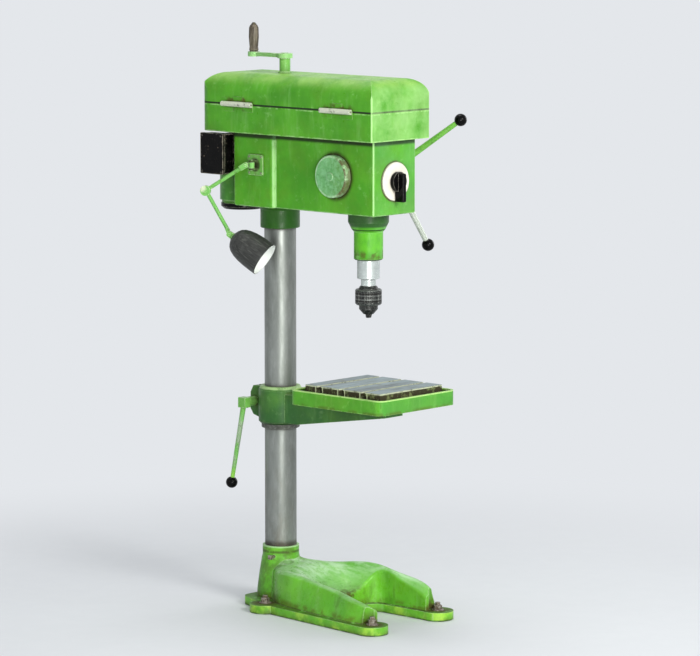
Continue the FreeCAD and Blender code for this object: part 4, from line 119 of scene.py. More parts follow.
class Shader:
    """One material's node tree, with short names for the nodes that the materials share."""

    def __init__(self, name):
        self.material = bpy.data.materials.new(name)
        self.material.use_nodes = True
        self.tree = self.material.node_tree
        self.out = self.tree.nodes["Principled BSDF"]
        texture = self.add("TexCoord")
        self.place, self.normal = texture.outputs["Object"], texture.outputs["Normal"]
        self.x, self.y, self.z = self.add("SeparateXYZ", {0: self.place}).outputs
        _, self.ny, self.nz = self.add("SeparateXYZ", {0: self.normal}).outputs
        self.dull, self.metal = 0.5, 0.0

    def add(self, kind, values=None, **settings):
        node = self.tree.nodes.new("ShaderNode" + kind)
        for key, value in settings.items():
            setattr(node, key, value)
        for key, value in (values or {}).items():
            self.feed(node.inputs[key], value)
        return node

    def feed(self, socket, value):
        if isinstance(value, bpy.types.NodeSocket):
            self.tree.links.new(value, socket)
        else:
            socket.default_value = value

    def math(self, kind, a, b=0.0, clamp=False):
        return self.add("Math", {0: a, 1: b}, operation=kind, use_clamp=clamp).outputs[0]

    def vector(self, kind, a, b):
        return self.add("VectorMath", {0: a, 1: b}, operation=kind).outputs[0]

    def dot(self, a, b):
        return self.add("VectorMath", {0: a, 1: b}, operation="DOT_PRODUCT").outputs["Value"]

    def length(self, a):
        return self.add("VectorMath", {0: a}, operation="LENGTH").outputs["Value"]

    # Masks: sockets that are 1 where a mark lies and 0 elsewhere.

    def all_of(self, *masks):
        share = masks[0]
        for mask in masks[1:]:
            share = self.math("MULTIPLY", share, mask)
        return share

    def any_of(self, *masks):
        share = masks[0]
        for mask in masks[1:]:
            share = self.math("MAXIMUM", share, mask)
        return share

    def but_not(self, mask, hole):
        return self.math("SUBTRACT", mask, hole, clamp=True)

    def noise(self, scale, detail=4.0, rough=0.55, stretch=None, offset=0.0):
        place = self.place
        if stretch or offset:
            place = self.add("Mapping", {"Vector": place, "Scale": stretch or (1, 1, 1),
                                         "Location": (offset, offset * 0.7, -offset)}).outputs[0]
        return self.add("TexNoise", {"Vector": place, "Scale": scale, "Detail": detail,
                                     "Roughness": rough}).outputs["Fac"]

    def step(self, value, low, high, to_low=0.0, to_high=1.0):
        return self.add("MapRange", {"Value": value, "From Min": low, "From Max": high,
                                     "To Min": to_low, "To Max": to_high},
                        interpolation_type="SMOOTHSTEP").outputs["Result"]

    def rag(self, scale, low=0.40, high=0.58, offset=0.0, stretch=None):
        """A ragged mask that breaks up marks as a worn or brushed surface does."""
        return self.step(self.noise(scale, 5.0, 0.68, stretch, offset), low, high)

    def within(self, value, low, high, soft=SOFT):
        return self.math("MULTIPLY", self.step(value, low - soft, low + soft),
                         self.step(value, high - soft, high + soft, 1.0, 0.0))

    def box(self, x=None, y=None, z=None, soft=SOFT):
        """1 inside a box. An axis with no span is open."""
        spans = ((self.x, x), (self.y, y), (self.z, z))
        return self.all_of(*[self.within(value, *span, soft) for value, span in spans if span])

    def bands(self, places, half, soft=0.001):
        """1 in bands across y, each reaching half to both sides of its place."""
        return self.any_of(*[self.box(y=(y - half, y + half), soft=soft) for y in places])

    def reach(self, centre, near, far, axis=None):
        """1 near a point, or near a line along an axis through it, 0 beyond."""
        flat = tuple(0.0 if letter == axis else 1.0 for letter in "xyz")
        arm = self.vector("MULTIPLY", self.vector("SUBTRACT", self.place, centre), flat)
        return self.step(self.length(arm), near, far, 1.0, 0.0)

    def corners(self, x, y, near, far):
        """1 near two upright lines, one each side of the middle."""
        away = self.add("CombineXYZ", {0: self.math("SUBTRACT", self.math("ABSOLUTE", self.x), x),
                                       1: self.math("SUBTRACT", self.y, y)}).outputs[0]
        return self.step(self.length(away), near, far, 1.0, 0.0)

    def front(self):
        """1 on faces turned to the operator."""
        return self.step(self.ny, -0.6, -0.95)

    def edges(self, radius, low=0.02, high=0.22):
        """1 on the convex and concave edges of the mesh, 0 on its flats."""
        soft = self.add("Bevel", {"Radius": radius}, samples=6).outputs[0]
        dot = self.dot(soft, self.add("NewGeometry").outputs["Normal"])
        return self.step(self.math("SUBTRACT", 1.0, dot), low * low, high * high)

    def recess(self, distance, low=0.35, high=0.85):
        """1 deep in corners and gaps, 0 in the open."""
        node = self.add("AmbientOcclusion", {"Distance": distance}, samples=8)
        return self.step(node.outputs["AO"], low, high, 1.0, 0.0)

    def mix(self, share, a, b):
        node = self.add("Mix", {0: share}, data_type="RGBA")
        self.feed(node.inputs[RGBA_A], a)
        self.feed(node.inputs[RGBA_B], b)
        return node.outputs[RGBA_RESULT]

    def mark(self, colour, *masks, dull=None, metal=None):
        """Lays a colour, and with it a roughness or a metal, where all the masks meet."""
        share = self.math("MULTIPLY", self.all_of(*masks), 1.0, clamp=True)
        self.colour = self.mix(share, self.colour, colour)
        for name, value in (("dull", dull), ("metal", metal)):
            if value is not None:
                now = {0: share, FLOAT_A: getattr(self, name), FLOAT_B: value}
                setattr(self, name, self.add("Mix", now).outputs[0])

    def finish(self, height, strength, distance, radius=0.0, level=0.5):
        values = {"Height": height, "Strength": strength, "Distance": distance}
        if radius:
            values["Normal"] = self.add("Bevel", {"Radius": radius}, samples=4).outputs[0]
        self.feed(self.out.inputs["Base Color"], self.colour)
        self.feed(self.out.inputs["Roughness"], self.dull)
        self.feed(self.out.inputs["Metallic"], self.metal)
        self.feed(self.out.inputs["Normal"], self.add("Bump", values).outputs[0])
        self.out.inputs["Specular IOR Level"].default_value = level
        return self.material


# ---------------------------------------------------------------- finishes

# The first colour is brown dirt, which in corners also serves as painted shade. The second is near-black
# painted shade for tight gaps, the hood's seam, grooves and under the hood.
DIRT_AND_SHADE, PAINTED_SHADE = srgb(74, 62, 22), srgb(20, 24, 12)


def paint(name, base, pale, dark, marks=None, gloss=0.36, wear=1.0, grime=1.0, edge=0.0034):
    """Brushed-on enamel: cloudy colour, upward faces painted paler as painted light from above, pale worn
    edges, and brown dirt with painted shade in the corners and gaps.
    """
    s = Shader(name)
    s.pale = pale
    s.colour = s.mix(s.step(s.noise(9.0, 5.0, 0.6), 0.30, 0.72), dark, base)
    s.mark(pale, s.rag(34.0, 0.50, 0.74, 2.2, (1, 1, 0.16)), 0.15)
    s.mark(pale, s.rag(38.0, 0.56, 0.74, 3.1), 0.26 * wear)
    s.mark(srgb(96, 136, 30), s.rag(6.5, 0.42, 0.66, 5.5), 0.30 * grime)
    s.dull = s.step(s.noise(60.0, 4.0, 0.6, offset=9.0), 0.3, 0.7, gloss - 0.07, gloss + 0.14)
    # Upward faces painted paler: painted light from above.
    s.mark(pale, s.step(s.nz, 0.45, 0.95), s.rag(16.0, 0.30, 0.70, 4.4), 0.30)
    # Brown dirt and painted shade, from ambient occlusion in corners and recesses.
    s.mark(DIRT_AND_SHADE, s.recess(0.035), s.rag(26.0, 0.28, 0.60, 1.3), 0.95 * grime, dull=0.72)
    # Near-black painted shade in tight gaps, from ambient occlusion.
    s.mark(PAINTED_SHADE, s.recess(0.012, 0.2, 0.7), 0.85 * grime, dull=0.7)
    s.plain = s.colour    # the paint before its edges wear, for marks that undo wear
    s.mark(pale, s.edges(edge), s.rag(60.0, 0.30, 0.58, 7.7), 0.90 * wear, dull=0.4)
    s.mark(srgb(48, 60, 26), s.rag(210.0, 0.66, 0.74, 5.0), 0.40 * grime)
    if marks:
        marks(s)
    brush = s.math("MULTIPLY", s.noise(55.0, 3.0, 0.6), 1.4)
    height = s.math("ADD", s.noise(260.0, 3.0, 0.6), brush)
    return s.finish(height, 0.30, 0.0009, edge * 0.5, 0.24)


def steel(name, base, pale, dark, rough=0.34, metal=1.0, stretch=(1, 1, 1), spots=1.0, marks=None,
          grime=0.0, ridges=None):
    """Bare metal: cloudy tone, fine machining lines and dull spots."""
    edge = 0.0012
    s = Shader(name)
    s.pale = pale
    cloud = s.step(s.noise(16.0, 6.0, 0.65, stretch), 0.32, 0.68)
    s.colour, s.metal = s.mix(cloud, dark, base), metal
    s.dull = s.step(cloud, 0.0, 1.0, rough + 0.10, rough)
    s.mark(pale, s.rag(95.0, 0.46, 0.66, 2.0, stretch), 0.4 * spots)
    s.mark(dark, s.rag(150.0, 0.60, 0.70, 6.0, stretch), 0.5 * spots, dull=rough + 0.2)
    s.mark(pale, s.edges(edge), 0.7, dull=rough)
    if grime:
        # Brown dirt and painted shade in recesses, from ambient occlusion.
        s.mark(srgb(46, 34, 20), s.recess(0.012), s.rag(60.0, 0.25, 0.6, 3.3), grime, dull=0.75, metal=0.0)
    if marks:
        marks(s)
    height = s.noise(420.0, 2.0, 0.6, stretch)
    if ridges:
        height = s.math("ADD", s.math("MULTIPLY", ridges(s), 6.0), height)
    return s.finish(height, 0.5 if ridges else 0.16, 0.0004, edge)


def moulding(name, base, pale, dark, rough=0.3, edge=0.001, wear=0.5, grime=0.0, marks=None, level=0.24):
    """A moulded or enamelled surface with rubbed edges."""
    s = Shader(name)
    s.colour = s.mix(s.step(s.noise(30.0, 5.0, 0.6), 0.3, 0.7), dark, base)
    s.dull = s.step(s.noise(80.0, 4.0, 0.6, offset=8.0), 0.3, 0.7, rough - 0.06, rough + 0.12)
    if grime:
        # Brown dirt and painted shade in recesses, from ambient occlusion.
        s.mark(srgb(70, 52, 28), s.recess(0.02), s.rag(40.0, 0.25, 0.6), grime, dull=0.7)
    s.mark(pale, s.edges(edge), s.rag(90.0, 0.34, 0.60, 4.0), wear, dull=rough + 0.1)
    if marks:
        marks(s)
    return s.finish(s.noise(380.0, 3.0, 0.6), 0.12, 0.0004, edge, level)


# ---------------------------------------------------------------- places on the CAD model, in metres

SEAM_Z = 1.585                              # between the hood's lid and its tray
HEAD_TOP_Z, HEAD_LOW_Z = 1.496, 1.267
HOOD_X, HOOD_CORNER = 0.130, (0.132, -0.507)
HEAD_CORNER = (0.096, -0.482)
HEAD_FRONT_Y = -0.48
HINGES_Y, HINGE_HALF = (0.052, -0.366), 0.072
SPINDLE_Y = -0.374
CHUCK_RIMS_Z = (0.984, 1.0005, 1.0125, 1.029)
FEED_Y, FEED_Z = -0.323, 1.382              # the axis of the capstan and the spring housing
SWITCH = (0, HEAD_FRONT_Y, 1.370)
LAMP_PLATE = (-0.13, -0.005, 1.399)
LAMP_ELBOW, LAMP_TIP = (-0.2105, 0.128, 1.325), (-0.164, 0.050, 1.184)
SHADE_AXIS, SHADE_NECK = Vector((0.363, -0.763, -0.534)).normalized(), Vector((-0.161, 0.041, 1.170))
BOX_MIDDLE = (-0.148, 0.154, 1.427)         # the terminal box's outer face
SCREW_Y, SCREW_PITCH, SCREW_TOP_Z = -0.022, 0.005, 1.450
FLANGE_Z = 0.028                            # the top of the base's flange
FRONT_BOLT, REAR_BOLT = (0.151, -0.528), (0.132, -0.058)
NOTCH_ROOT = (-0.03, -0.33, 0.03)
SLOTS_Y = (-0.298, -0.390, -0.482)          # the table's T slots
TABLE_FACE_Z = 0.738
BLOCK_X, BLOCK_Y, BLOCK_LOW_Z = 0.1418, (-0.5518, -0.2320), 0.7    # the machined block within the channel
CHANNEL_X, CHANNEL_Y = 0.1662, (-0.5765, -0.2075)


# ---------------------------------------------------------------- marks of use, where the machine has them

def hood_marks(s):
    """The seam darkened as painted shade, a painted highlight along the crown, front faces painted paler as
    painted light, pale lips and corners, and bare hinge barrels in their brown dirt.
    """
    leaves = s.any_of(*[s.box(y=(y - HINGE_HALF, y + HINGE_HALF), z=(1.562, 1.608), soft=0.002)
                        for y in HINGES_Y])
    s.mark(s.plain, leaves, s.step(s.x, -HOOD_X, -HOOD_X - 0.0012))
    s.mark(s.pale, s.within(s.z, SEAM_Z - 0.0075, SEAM_Z - 0.0032), s.rag(50.0, 0.42, 0.60), 0.55)
    # Near-black band along the seam: painted shade in the gap between lid and tray.
    seam = s.within(s.z, SEAM_Z - 0.0030, SEAM_Z + 0.0030)
    s.mark(PAINTED_SHADE, seam, s.rag(30.0, 0.20, 0.36, 6.1), 0.95, dull=0.75)
    s.mark(s.pale, s.within(s.z, HEAD_TOP_Z - 0.001, HEAD_TOP_Z + 0.0038), s.rag(40.0, 0.38, 0.6, 2.5), 0.6)
    s.mark(s.pale, s.corners(*HOOD_CORNER, 0.002, 0.0055), s.rag(44.0, 0.26, 0.46, 1.5), 0.9)
    # Yellow-green along the upper crown: a painted highlight.
    s.mark(srgb(176, 218, 110), s.step(s.z, 1.640, 1.676), s.rag(12.0, 0.25, 0.65, 8.0), 0.45)
    # Front faces painted paler: painted light.
    s.mark(s.pale, s.front(), s.rag(10.0, 0.2, 0.7, 9.0), 0.5)
    near = s.any_of(*[s.reach((-0.141, y, SEAM_Z), 0.028, 0.088, "x") for y in HINGES_Y])
    s.mark(DIRT_AND_SHADE, near, s.rag(42.0, 0.46, 0.60, 2.7), s.box(z=(1.566, 1.606), soft=0.006), 0.75, dull=0.6)
    barrel = s.step(s.x, -0.1362, -0.1370)
    s.mark(srgb(206, 210, 190), barrel, s.rag(55.0, 0.26, 0.44, 4.1), dull=0.38, metal=0.4)
    s.mark(srgb(58, 52, 30), barrel, s.rag(70.0, 0.56, 0.68, 8.1), 0.8, dull=0.6, metal=0.0)


def head_marks(s):
    """Painted shadow at the top under the hood, front faces painted paler as painted light, a partly painted
    highlight on the shoulder, pale corners, dirt round the disc and the switch, painted shade below the head,
    and the spindle's nose with painted shade in its grooves.
    """
    # Near-black band just under the hood: painted shadow of the hood's overhang.
    under_hood = s.within(s.z, HEAD_TOP_Z - 0.015, HEAD_TOP_Z + 0.01, 0.004)
    s.mark(PAINTED_SHADE, under_hood, s.rag(24.0, 0.14, 0.40, 3.9), 0.9, dull=0.7)
    s.mark(s.pale, s.corners(*HEAD_CORNER, 0.0022, 0.006), s.rag(40.0, 0.20, 0.42, 1.9), 0.95)
    # Pale band on the shoulder's front-facing step: partly wear, partly a painted highlight on the lit face.
    shoulder = s.box(y=(-0.0765, -0.0705), z=(1.268, 1.478), soft=0.002)
    flank = s.step(s.math("ABSOLUTE", s.x), 0.093, 0.0965)
    s.mark(s.pale, shoulder, flank, s.rag(26.0, 0.22, 0.5, 5.9), 0.85)
    s.mark(s.pale, s.within(s.z, HEAD_LOW_Z - 0.001, HEAD_LOW_Z + 0.0035), s.rag(36.0, 0.36, 0.54, 2.1), 0.6)
    disc = s.all_of(s.reach((-0.1, FEED_Y, FEED_Z), 0.066, 0.082, "x"), s.step(s.x, -0.0940, -0.0955))
    s.mark(srgb(44, 40, 14), disc, s.rag(34.0, 0.26, 0.46, 4.6), 0.95, dull=0.7)
    plate = s.all_of(s.reach(SWITCH, 0.060, 0.067, "y"), s.step(s.y, HEAD_FRONT_Y, HEAD_FRONT_Y - 0.0015))
    s.mark(srgb(66, 46, 18), plate, s.rag(40.0, 0.28, 0.5, 3.6), 0.9, dull=0.7)
    # Front faces painted paler: painted light.
    s.mark(srgb(120, 170, 120), s.front(), s.rag(10.0, 0.2, 0.7, 9.0), 0.22)
    # Below the head, the collar and the upper part of the spindle's nose are painted darker: painted shade
    # under the head.
    below = s.step(s.z, HEAD_LOW_Z - 0.001, HEAD_LOW_Z + 0.001, 1.0, 0.0)
    s.mark(srgb(26, 70, 16), below, s.step(s.y, -0.15, -0.14), 0.85)
    nose = s.all_of(below, s.step(s.y, -0.24, -0.25))
    upper, lower = s.step(s.z, 1.222, 1.230), s.box(z=(1.150, 1.213), soft=0.012)
    s.mark(srgb(34, 68, 32), nose, upper, 0.88)
    s.mark(srgb(104, 190, 40), nose, lower, s.rag(20.0, 0.28, 0.55, 7.0), 0.5)
    # Near-black in the nose's grooves: painted shade.
    grooves = s.any_of(s.box(z=(1.2145, 1.2185)), s.box(z=(1.1225, 1.1262)))
    s.mark(PAINTED_SHADE, nose, grooves, s.rag(60.0, 0.25, 0.42, 8.2), 0.85, dull=0.7)
    mouth = s.box(z=(1.127, 1.150), soft=0.008)
    s.mark(DIRT_AND_SHADE, nose, mouth, s.rag(44.0, 0.46, 0.60, 6.6), 0.7, dull=0.6)


def disc_marks(s):
    """A speckled face, and a rim that is chipped at the front."""
    s.mark(srgb(140, 196, 146), s.rag(60.0, 0.40, 0.62, 1.1), 0.5)
    s.mark(srgb(70, 120, 62), s.rag(110.0, 0.52, 0.66, 3.1), 0.55)
    middle = (-0.12, FEED_Y, FEED_Z)
    rim = s.but_not(s.reach(middle, 0.0648, 0.0655, "x"), s.reach(middle, 0.057, 0.060, "x"))
    s.mark(s.pale, rim, s.rag(30.0, 0.36, 0.56, 2.9), 0.8)
    s.mark(srgb(80, 66, 28), rim, s.step(s.y, -0.335, -0.365), s.rag(50.0, 0.36, 0.52, 5.2), 0.9, dull=0.7)


def base_marks(s):
    """Upper faces painted paler as painted light from above, and dirt at the foot, the bolts, the notch's
    root and the socket.
    """
    # Upward faces painted paler, most along the crests: painted light from above.
    up = s.step(s.nz, 0.30, 0.92)
    s.mark(srgb(140, 196, 128), up, s.step(s.z, 0.040, 0.11), s.rag(9.0, 0.28, 0.62, 2.0), 0.5)
    s.mark(srgb(196, 228, 190), up, s.step(s.z, 0.09, 0.13), s.rag(46.0, 0.40, 0.62, 6.0, (1, 0.25, 1)), 0.6)
    flange_top = s.step(s.z, FLANGE_Z + 0.001, FLANGE_Z - 0.0002)
    s.mark(srgb(78, 160, 30), flange_top, s.step(s.nz, 0.8, 0.95), 0.85)
    foot, flange_edge = s.box(z=(0.029, 0.044), soft=0.008), s.within(s.z, 0.0262, 0.0305, 0.001)
    s.mark(srgb(88, 88, 24), foot, s.rag(26.0, 0.46, 0.60, 3.0), 0.65, dull=0.7)
    s.mark(srgb(60, 52, 18), flange_edge, s.rag(30.0, 0.34, 0.5, 9.3), 0.6, dull=0.7)
    bolts = [s.reach((side * x, y, 0.03), 0.018, far)
             for (x, y), far in ((FRONT_BOLT, 0.052), (REAR_BOLT, 0.060)) for side in (-1, 1)]
    s.mark(srgb(66, 50, 22), s.any_of(*bolts), s.rag(40.0, 0.34, 0.52, 4.0), 0.9, dull=0.7)
    s.mark(DIRT_AND_SHADE, s.reach(NOTCH_ROOT, 0.05, 0.13), s.rag(34.0, 0.42, 0.56, 7.0), 0.9, dull=0.7)
    runs = s.rag(18.0, 0.52, 0.66, 1.7, (1, 1, 0.3))
    s.mark(srgb(70, 112, 30), s.box(z=(0.030, 0.10), soft=0.02), runs, 0.5)
    socket = s.reach((0, 0, 0), 0.074, 0.10, "z")
    s.mark(srgb(72, 86, 40), socket, s.step(s.z, 0.03, 0.06), s.rag(22.0, 0.42, 0.60, 5.0), 0.55, dull=0.6)
    step = s.box(z=(0.168, 0.176), soft=0.003)
    s.mark(srgb(58, 54, 26), socket, step, s.rag(40.0, 0.30, 0.5, 1.0), 0.7, dull=0.6)
    s.mark(srgb(168, 206, 150), socket, s.step(s.z, 0.184, 0.188), 0.7)
    s.mark(srgb(186, 226, 84), s.box(z=(0.003, 0.0262)), s.rag(14.0, 0.45, 0.66, 8.0), 0.5)
    s.mark(srgb(44, 58, 24), s.step(s.z, 0.006, 0.001), s.rag(30.0, 0.3, 0.55, 2.0), 0.8)


def table_marks(s):
    """The bare machined block with its slots, and the painted rim round it."""
    block = s.all_of(s.box(x=(-BLOCK_X, BLOCK_X), y=BLOCK_Y, soft=0.0004),
                     s.step(s.z, BLOCK_LOW_Z + 0.0002, BLOCK_LOW_Z + 0.0010))
    round_it = s.math("SUBTRACT", 1.0, block)
    s.mark(srgb(54, 50, 32), block, dull=0.6)
    s.mark(srgb(120, 132, 84), block, s.rag(60.0, 0.50, 0.64, 2.8), 0.8, dull=0.5)
    lips = s.but_not(s.bands(SLOTS_Y, 0.0165), s.bands(SLOTS_Y, 0.0125))
    s.mark(srgb(206, 216, 170), block, lips, s.rag(50.0, 0.24, 0.42, 1.8), 0.9, dull=0.5)
    rim = s.box(z=(TABLE_FACE_Z - 0.0045, TABLE_FACE_Z + 0.001))
    s.mark(srgb(198, 206, 176), block, rim, s.rag(70.0, 0.28, 0.5, 3.8), 0.85, dull=0.45)
    top = s.all_of(block, s.step(s.z, TABLE_FACE_Z - 0.0006, TABLE_FACE_Z - 0.0002))
    tone = s.mix(s.rag(7.0, 0.30, 0.62, 1.4, (0.3, 1.6, 1)), srgb(112, 128, 132), srgb(152, 172, 176))
    s.mark(tone, top, dull=0.36, metal=0.35)
    s.mark(srgb(84, 88, 76), top, s.rag(40.0, 0.50, 0.66, 2.4, (0.2, 2.0, 1)), 0.6, dull=0.5)
    s.mark(srgb(126, 112, 74), top, s.rag(24.0, 0.54, 0.70, 7.4), 0.5, dull=0.5)
    slots = s.bands(SLOTS_Y, 0.0100, SOFT)
    s.mark(srgb(196, 202, 192), top, slots, s.rag(50.0, 0.34, 0.56, 5.4), 0.8, dull=0.4, metal=0.2)
    # The rim's front face painted a darker, bluer green: painted shade.
    s.mark(srgb(60, 130, 70), s.front(), s.step(s.y, -0.575, -0.580), 0.30)
    s.mark(srgb(78, 86, 28), s.within(s.z, 0.670, 0.684, 0.005), s.rag(20.0, 0.40, 0.58, 8.4), 0.6, dull=0.6)
    s.mark(s.pale, s.within(s.z, 0.7185, 0.7235), s.rag(36.0, 0.24, 0.46, 6.4), round_it, 0.8)
    channel = s.box(x=(-CHANNEL_X, CHANNEL_X), y=CHANNEL_Y)
    s.mark(srgb(56, 62, 26), s.box(z=(0.6985, 0.7165)), channel, round_it, 0.65, dull=0.6)


def bracket_marks(s):
    """Paint darkened and clouded as painted shade under the table, a pale top to the hub, and painted shade
    at its foot.
    """
    s.mark(srgb(44, 84, 44), s.rag(8.0, 0.30, 0.66, 3.0), 0.45)
    hub = s.reach((0, 0, 0), 0.0705, 0.076, "z")
    s.mark(srgb(170, 204, 140), hub, s.within(s.z, 0.6895, 0.699, 0.002), s.rag(30.0, 0.30, 0.52, 1.0), 0.8)
    # Darker towards the foot: painted shade.
    s.mark(srgb(24, 34, 18), s.step(s.z, 0.592, 0.580), 0.7)


def column_marks(s):
    """Dirt above the base's socket, and dirt with painted shade wherever another piece sits close round the
    column.
    """
    dirt = srgb(44, 38, 26)
    s.mark(dirt, s.box(z=(0.186, 0.205), soft=0.008), s.rag(28.0, 0.22, 0.52, 1.7), 0.85, dull=0.6, metal=0.3)
    # Darker where another piece sits close round the column: dirt and painted shade, from ambient occlusion.
    s.mark(dirt, s.recess(0.035, 0.45, 0.95), s.rag(28.0, 0.14, 0.42, 4.9), 0.85, dull=0.6, metal=0.3)
    s.mark(srgb(104, 92, 72), s.rag(9.0, 0.52, 0.72, 3.0, (1, 1, 0.4)), 0.35, dull=0.5)


def chips(s, share, low=0.60, high=0.70, colour=srgb(56, 52, 26)):
    """Dark spots where the paint of a slender piece has come off."""
    s.mark(colour, s.rag(60.0, low, high, 6.0), share, dull=0.6)


def lever_marks(s):
    """Bare steel where the hand takes the clamp lever, fresh paint at its end."""
    bare = s.all_of(s.box(z=(0.440, 0.590), soft=0.03), s.rag(30.0, 0.44, 0.56, 2.0, (1, 1, 0.4)))
    s.mark(srgb(168, 178, 160), bare, 0.7, dull=0.36, metal=0.5)
    s.mark(srgb(150, 214, 70), s.step(s.z, 0.44, 0.40), 0.6)
    chips(s, 0.8)


def spoke_marks(s):
    """Bare steel on the lower spoke and in patches on the others."""
    patches = s.all_of(s.step(s.z, 1.40, 1.39), s.rag(24.0, 0.5, 0.6))
    bare = s.any_of(s.step(s.z, 1.325, 1.285), patches)
    s.mark(srgb(190, 196, 186), bare, s.rag(30.0, 0.28, 0.44, 2.0), 0.95, dull=0.34, metal=0.5)
    chips(s, 0.7)


def lamp_plate_marks(s):
    middle = s.reach(LAMP_PLATE, 0.016, 0.026, "x")
    s.mark(srgb(48, 50, 26), middle, s.rag(50.0, 0.24, 0.46, 1.0), 0.9, dull=0.6)
    chips(s, 0.6, 0.56, 0.68, srgb(70, 66, 30))


def lamp_marks(s):
    joints = s.any_of(s.reach(LAMP_ELBOW, 0.012, 0.019), s.reach(LAMP_TIP, 0.006, 0.014))
    s.mark(srgb(208, 214, 184), joints, s.rag(60.0, 0.30, 0.50, 1.0), 0.9, dull=0.4)
    chips(s, 0.7, 0.58, 0.68, srgb(70, 72, 32))


def crank_marks(s):
    s.mark(srgb(78, 72, 60), s.step(s.z, 1.798, 1.802), dull=0.4, metal=0.5)
    chips(s, 0.5, 0.58, 0.68, srgb(90, 88, 44))


def ring_marks(s):
    """Graduations round the depth ring, one every 6 degrees and a longer one every 30."""
    ink = srgb(18, 18, 18)
    turn = s.math("ARCTAN2", s.math("SUBTRACT", s.z, FEED_Z), s.math("ADD", s.y, -FEED_Y))
    face = s.reach((0.1, FEED_Y, FEED_Z), 0.0368, 0.0372, "x")
    for pitch, from_x, wide in ((pi / 30, 0.1085, 0.055), (pi / 6, 0.1045, 0.014)):
        beat = s.math("PINGPONG", s.math("ADD", turn, 10 * pi), pitch / 2)
        line = s.step(beat, pitch * wide * 0.8, pitch * wide * 1.3, 1.0, 0.0)
        s.mark(ink, line, s.within(s.x, from_x, 0.1135, 0.0003), face, dull=0.6, metal=0.0)


def chuck_marks(s):
    """Pale ridges and rims with dark grooves between them."""
    s.mark(s.pale, s.step(knurl(s), 0.070, 0.100), s.box(z=(0.987, 1.029)), 0.10)
    rims = s.any_of(*[s.within(s.z, low, low + 0.003, 0.0006) for low in CHUCK_RIMS_Z])
    s.mark(s.pale, rims, 0.3)
    grooves = s.any_of(s.within(s.z, 0.9955, 0.999), s.within(s.z, 1.018, 1.0215))
    s.mark(srgb(24, 22, 20), grooves, 0.8, dull=0.6)


def box_marks(s):
    """Scuffs and bare edges on the terminal box."""
    s.mark(srgb(120, 108, 92), s.rag(70.0, 0.62, 0.70, 1.0), 0.55, dull=0.5)
    s.mark(srgb(148, 140, 124), s.edges(0.005), s.rag(46.0, 0.42, 0.54, 5.0), 0.9, dull=0.4)


def shade_marks(s):
    """Lengthwise scratches outside, white enamel inside."""
    along = tuple(SHADE_AXIS)
    across = SHADE_AXIS.cross(Vector((0, 0, 1))).normalized()
    third = SHADE_AXIS.cross(across)
    flat = s.add("CombineXYZ", {0: s.dot(s.place, tuple(across)), 1: s.dot(s.place, tuple(third)),
                                2: s.math("MULTIPLY", s.dot(s.place, along), 0.07)}).outputs[0]
    grain = {"Vector": flat, "Scale": 240.0, "Detail": 5.0, "Roughness": 0.72}
    streak = s.add("TexNoise", grain).outputs["Fac"]
    s.mark(srgb(112, 114, 108), s.step(streak, 0.50, 0.68), 0.40)
    s.mark(srgb(26, 27, 26), s.step(streak, 0.50, 0.36), 0.5)
    arm = s.vector("SUBTRACT", s.place, tuple(SHADE_NECK))
    run = s.dot(arm, along)
    spine = s.add("VectorMath", {0: along, "Scale": run}, operation="SCALE").outputs[0]
    facing = s.dot(s.vector("SUBTRACT", arm, spine), s.normal)
    s.mark(srgb(226, 230, 226), s.step(facing, 0.0, -0.004), s.step(run, 0.02, 0.03), dull=0.4)


def grip_marks(s):
    """The grain of a worn handle."""
    s.mark(srgb(132, 122, 106), s.rag(70.0, 0.44, 0.62, 2.0, (1, 1, 0.12)), 0.7)
    s.mark(srgb(48, 42, 36), s.rag(60.0, 0.50, 0.66, 5.0, (1, 1, 0.2)), 0.6)


def thread(s):
    """The elevating screw's ridges along z."""
    turn = s.math("DIVIDE", s.math("ARCTAN2", s.x, s.math("ADD", s.y, -SCREW_Y)), 2 * pi)
    climb = s.math("ADD", s.math("DIVIDE", s.z, SCREW_PITCH), turn)
    return s.all_of(s.math("PINGPONG", climb, 0.5), s.step(s.z, SCREW_TOP_Z + 0.005, SCREW_TOP_Z))


def knurl(s):
    """Upright serrations round the chuck's sleeve, 30 to a turn."""
    turn = s.math("ARCTAN2", s.x, s.math("ADD", s.y, -SPINDLE_Y))
    return s.math("PINGPONG", s.math("ADD", turn, 10 * pi), pi / 30)


def belt_ribs(s):
    return s.math("PINGPONG", s.math("MULTIPLY", s.z, 300.0), 0.5)


# ---------------------------------------------------------------- materials

# Each triple is the base colour, the pale one where it is worn, and the dark one of its clouds.
GREEN = (srgb(84, 166, 36), srgb(166, 214, 138), srgb(64, 142, 26))
LIGHT = (srgb(124, 192, 98), srgb(206, 232, 182), srgb(92, 158, 68))
BLACK = (srgb(11, 10, 10), srgb(128, 124, 114), srgb(5, 5, 5))
CHUCK = (srgb(46, 49, 46), srgb(158, 162, 156))
THIN_EDGE = 0.0018                          # the width of the wear on slender pieces
ALONG_COLUMN, TURNED, TURNED_FINE = (1, 1, 0.25), (1, 1, 2), (1, 1, 4)

small_paint = partial(paint, grime=0.8, edge=THIN_EDGE)

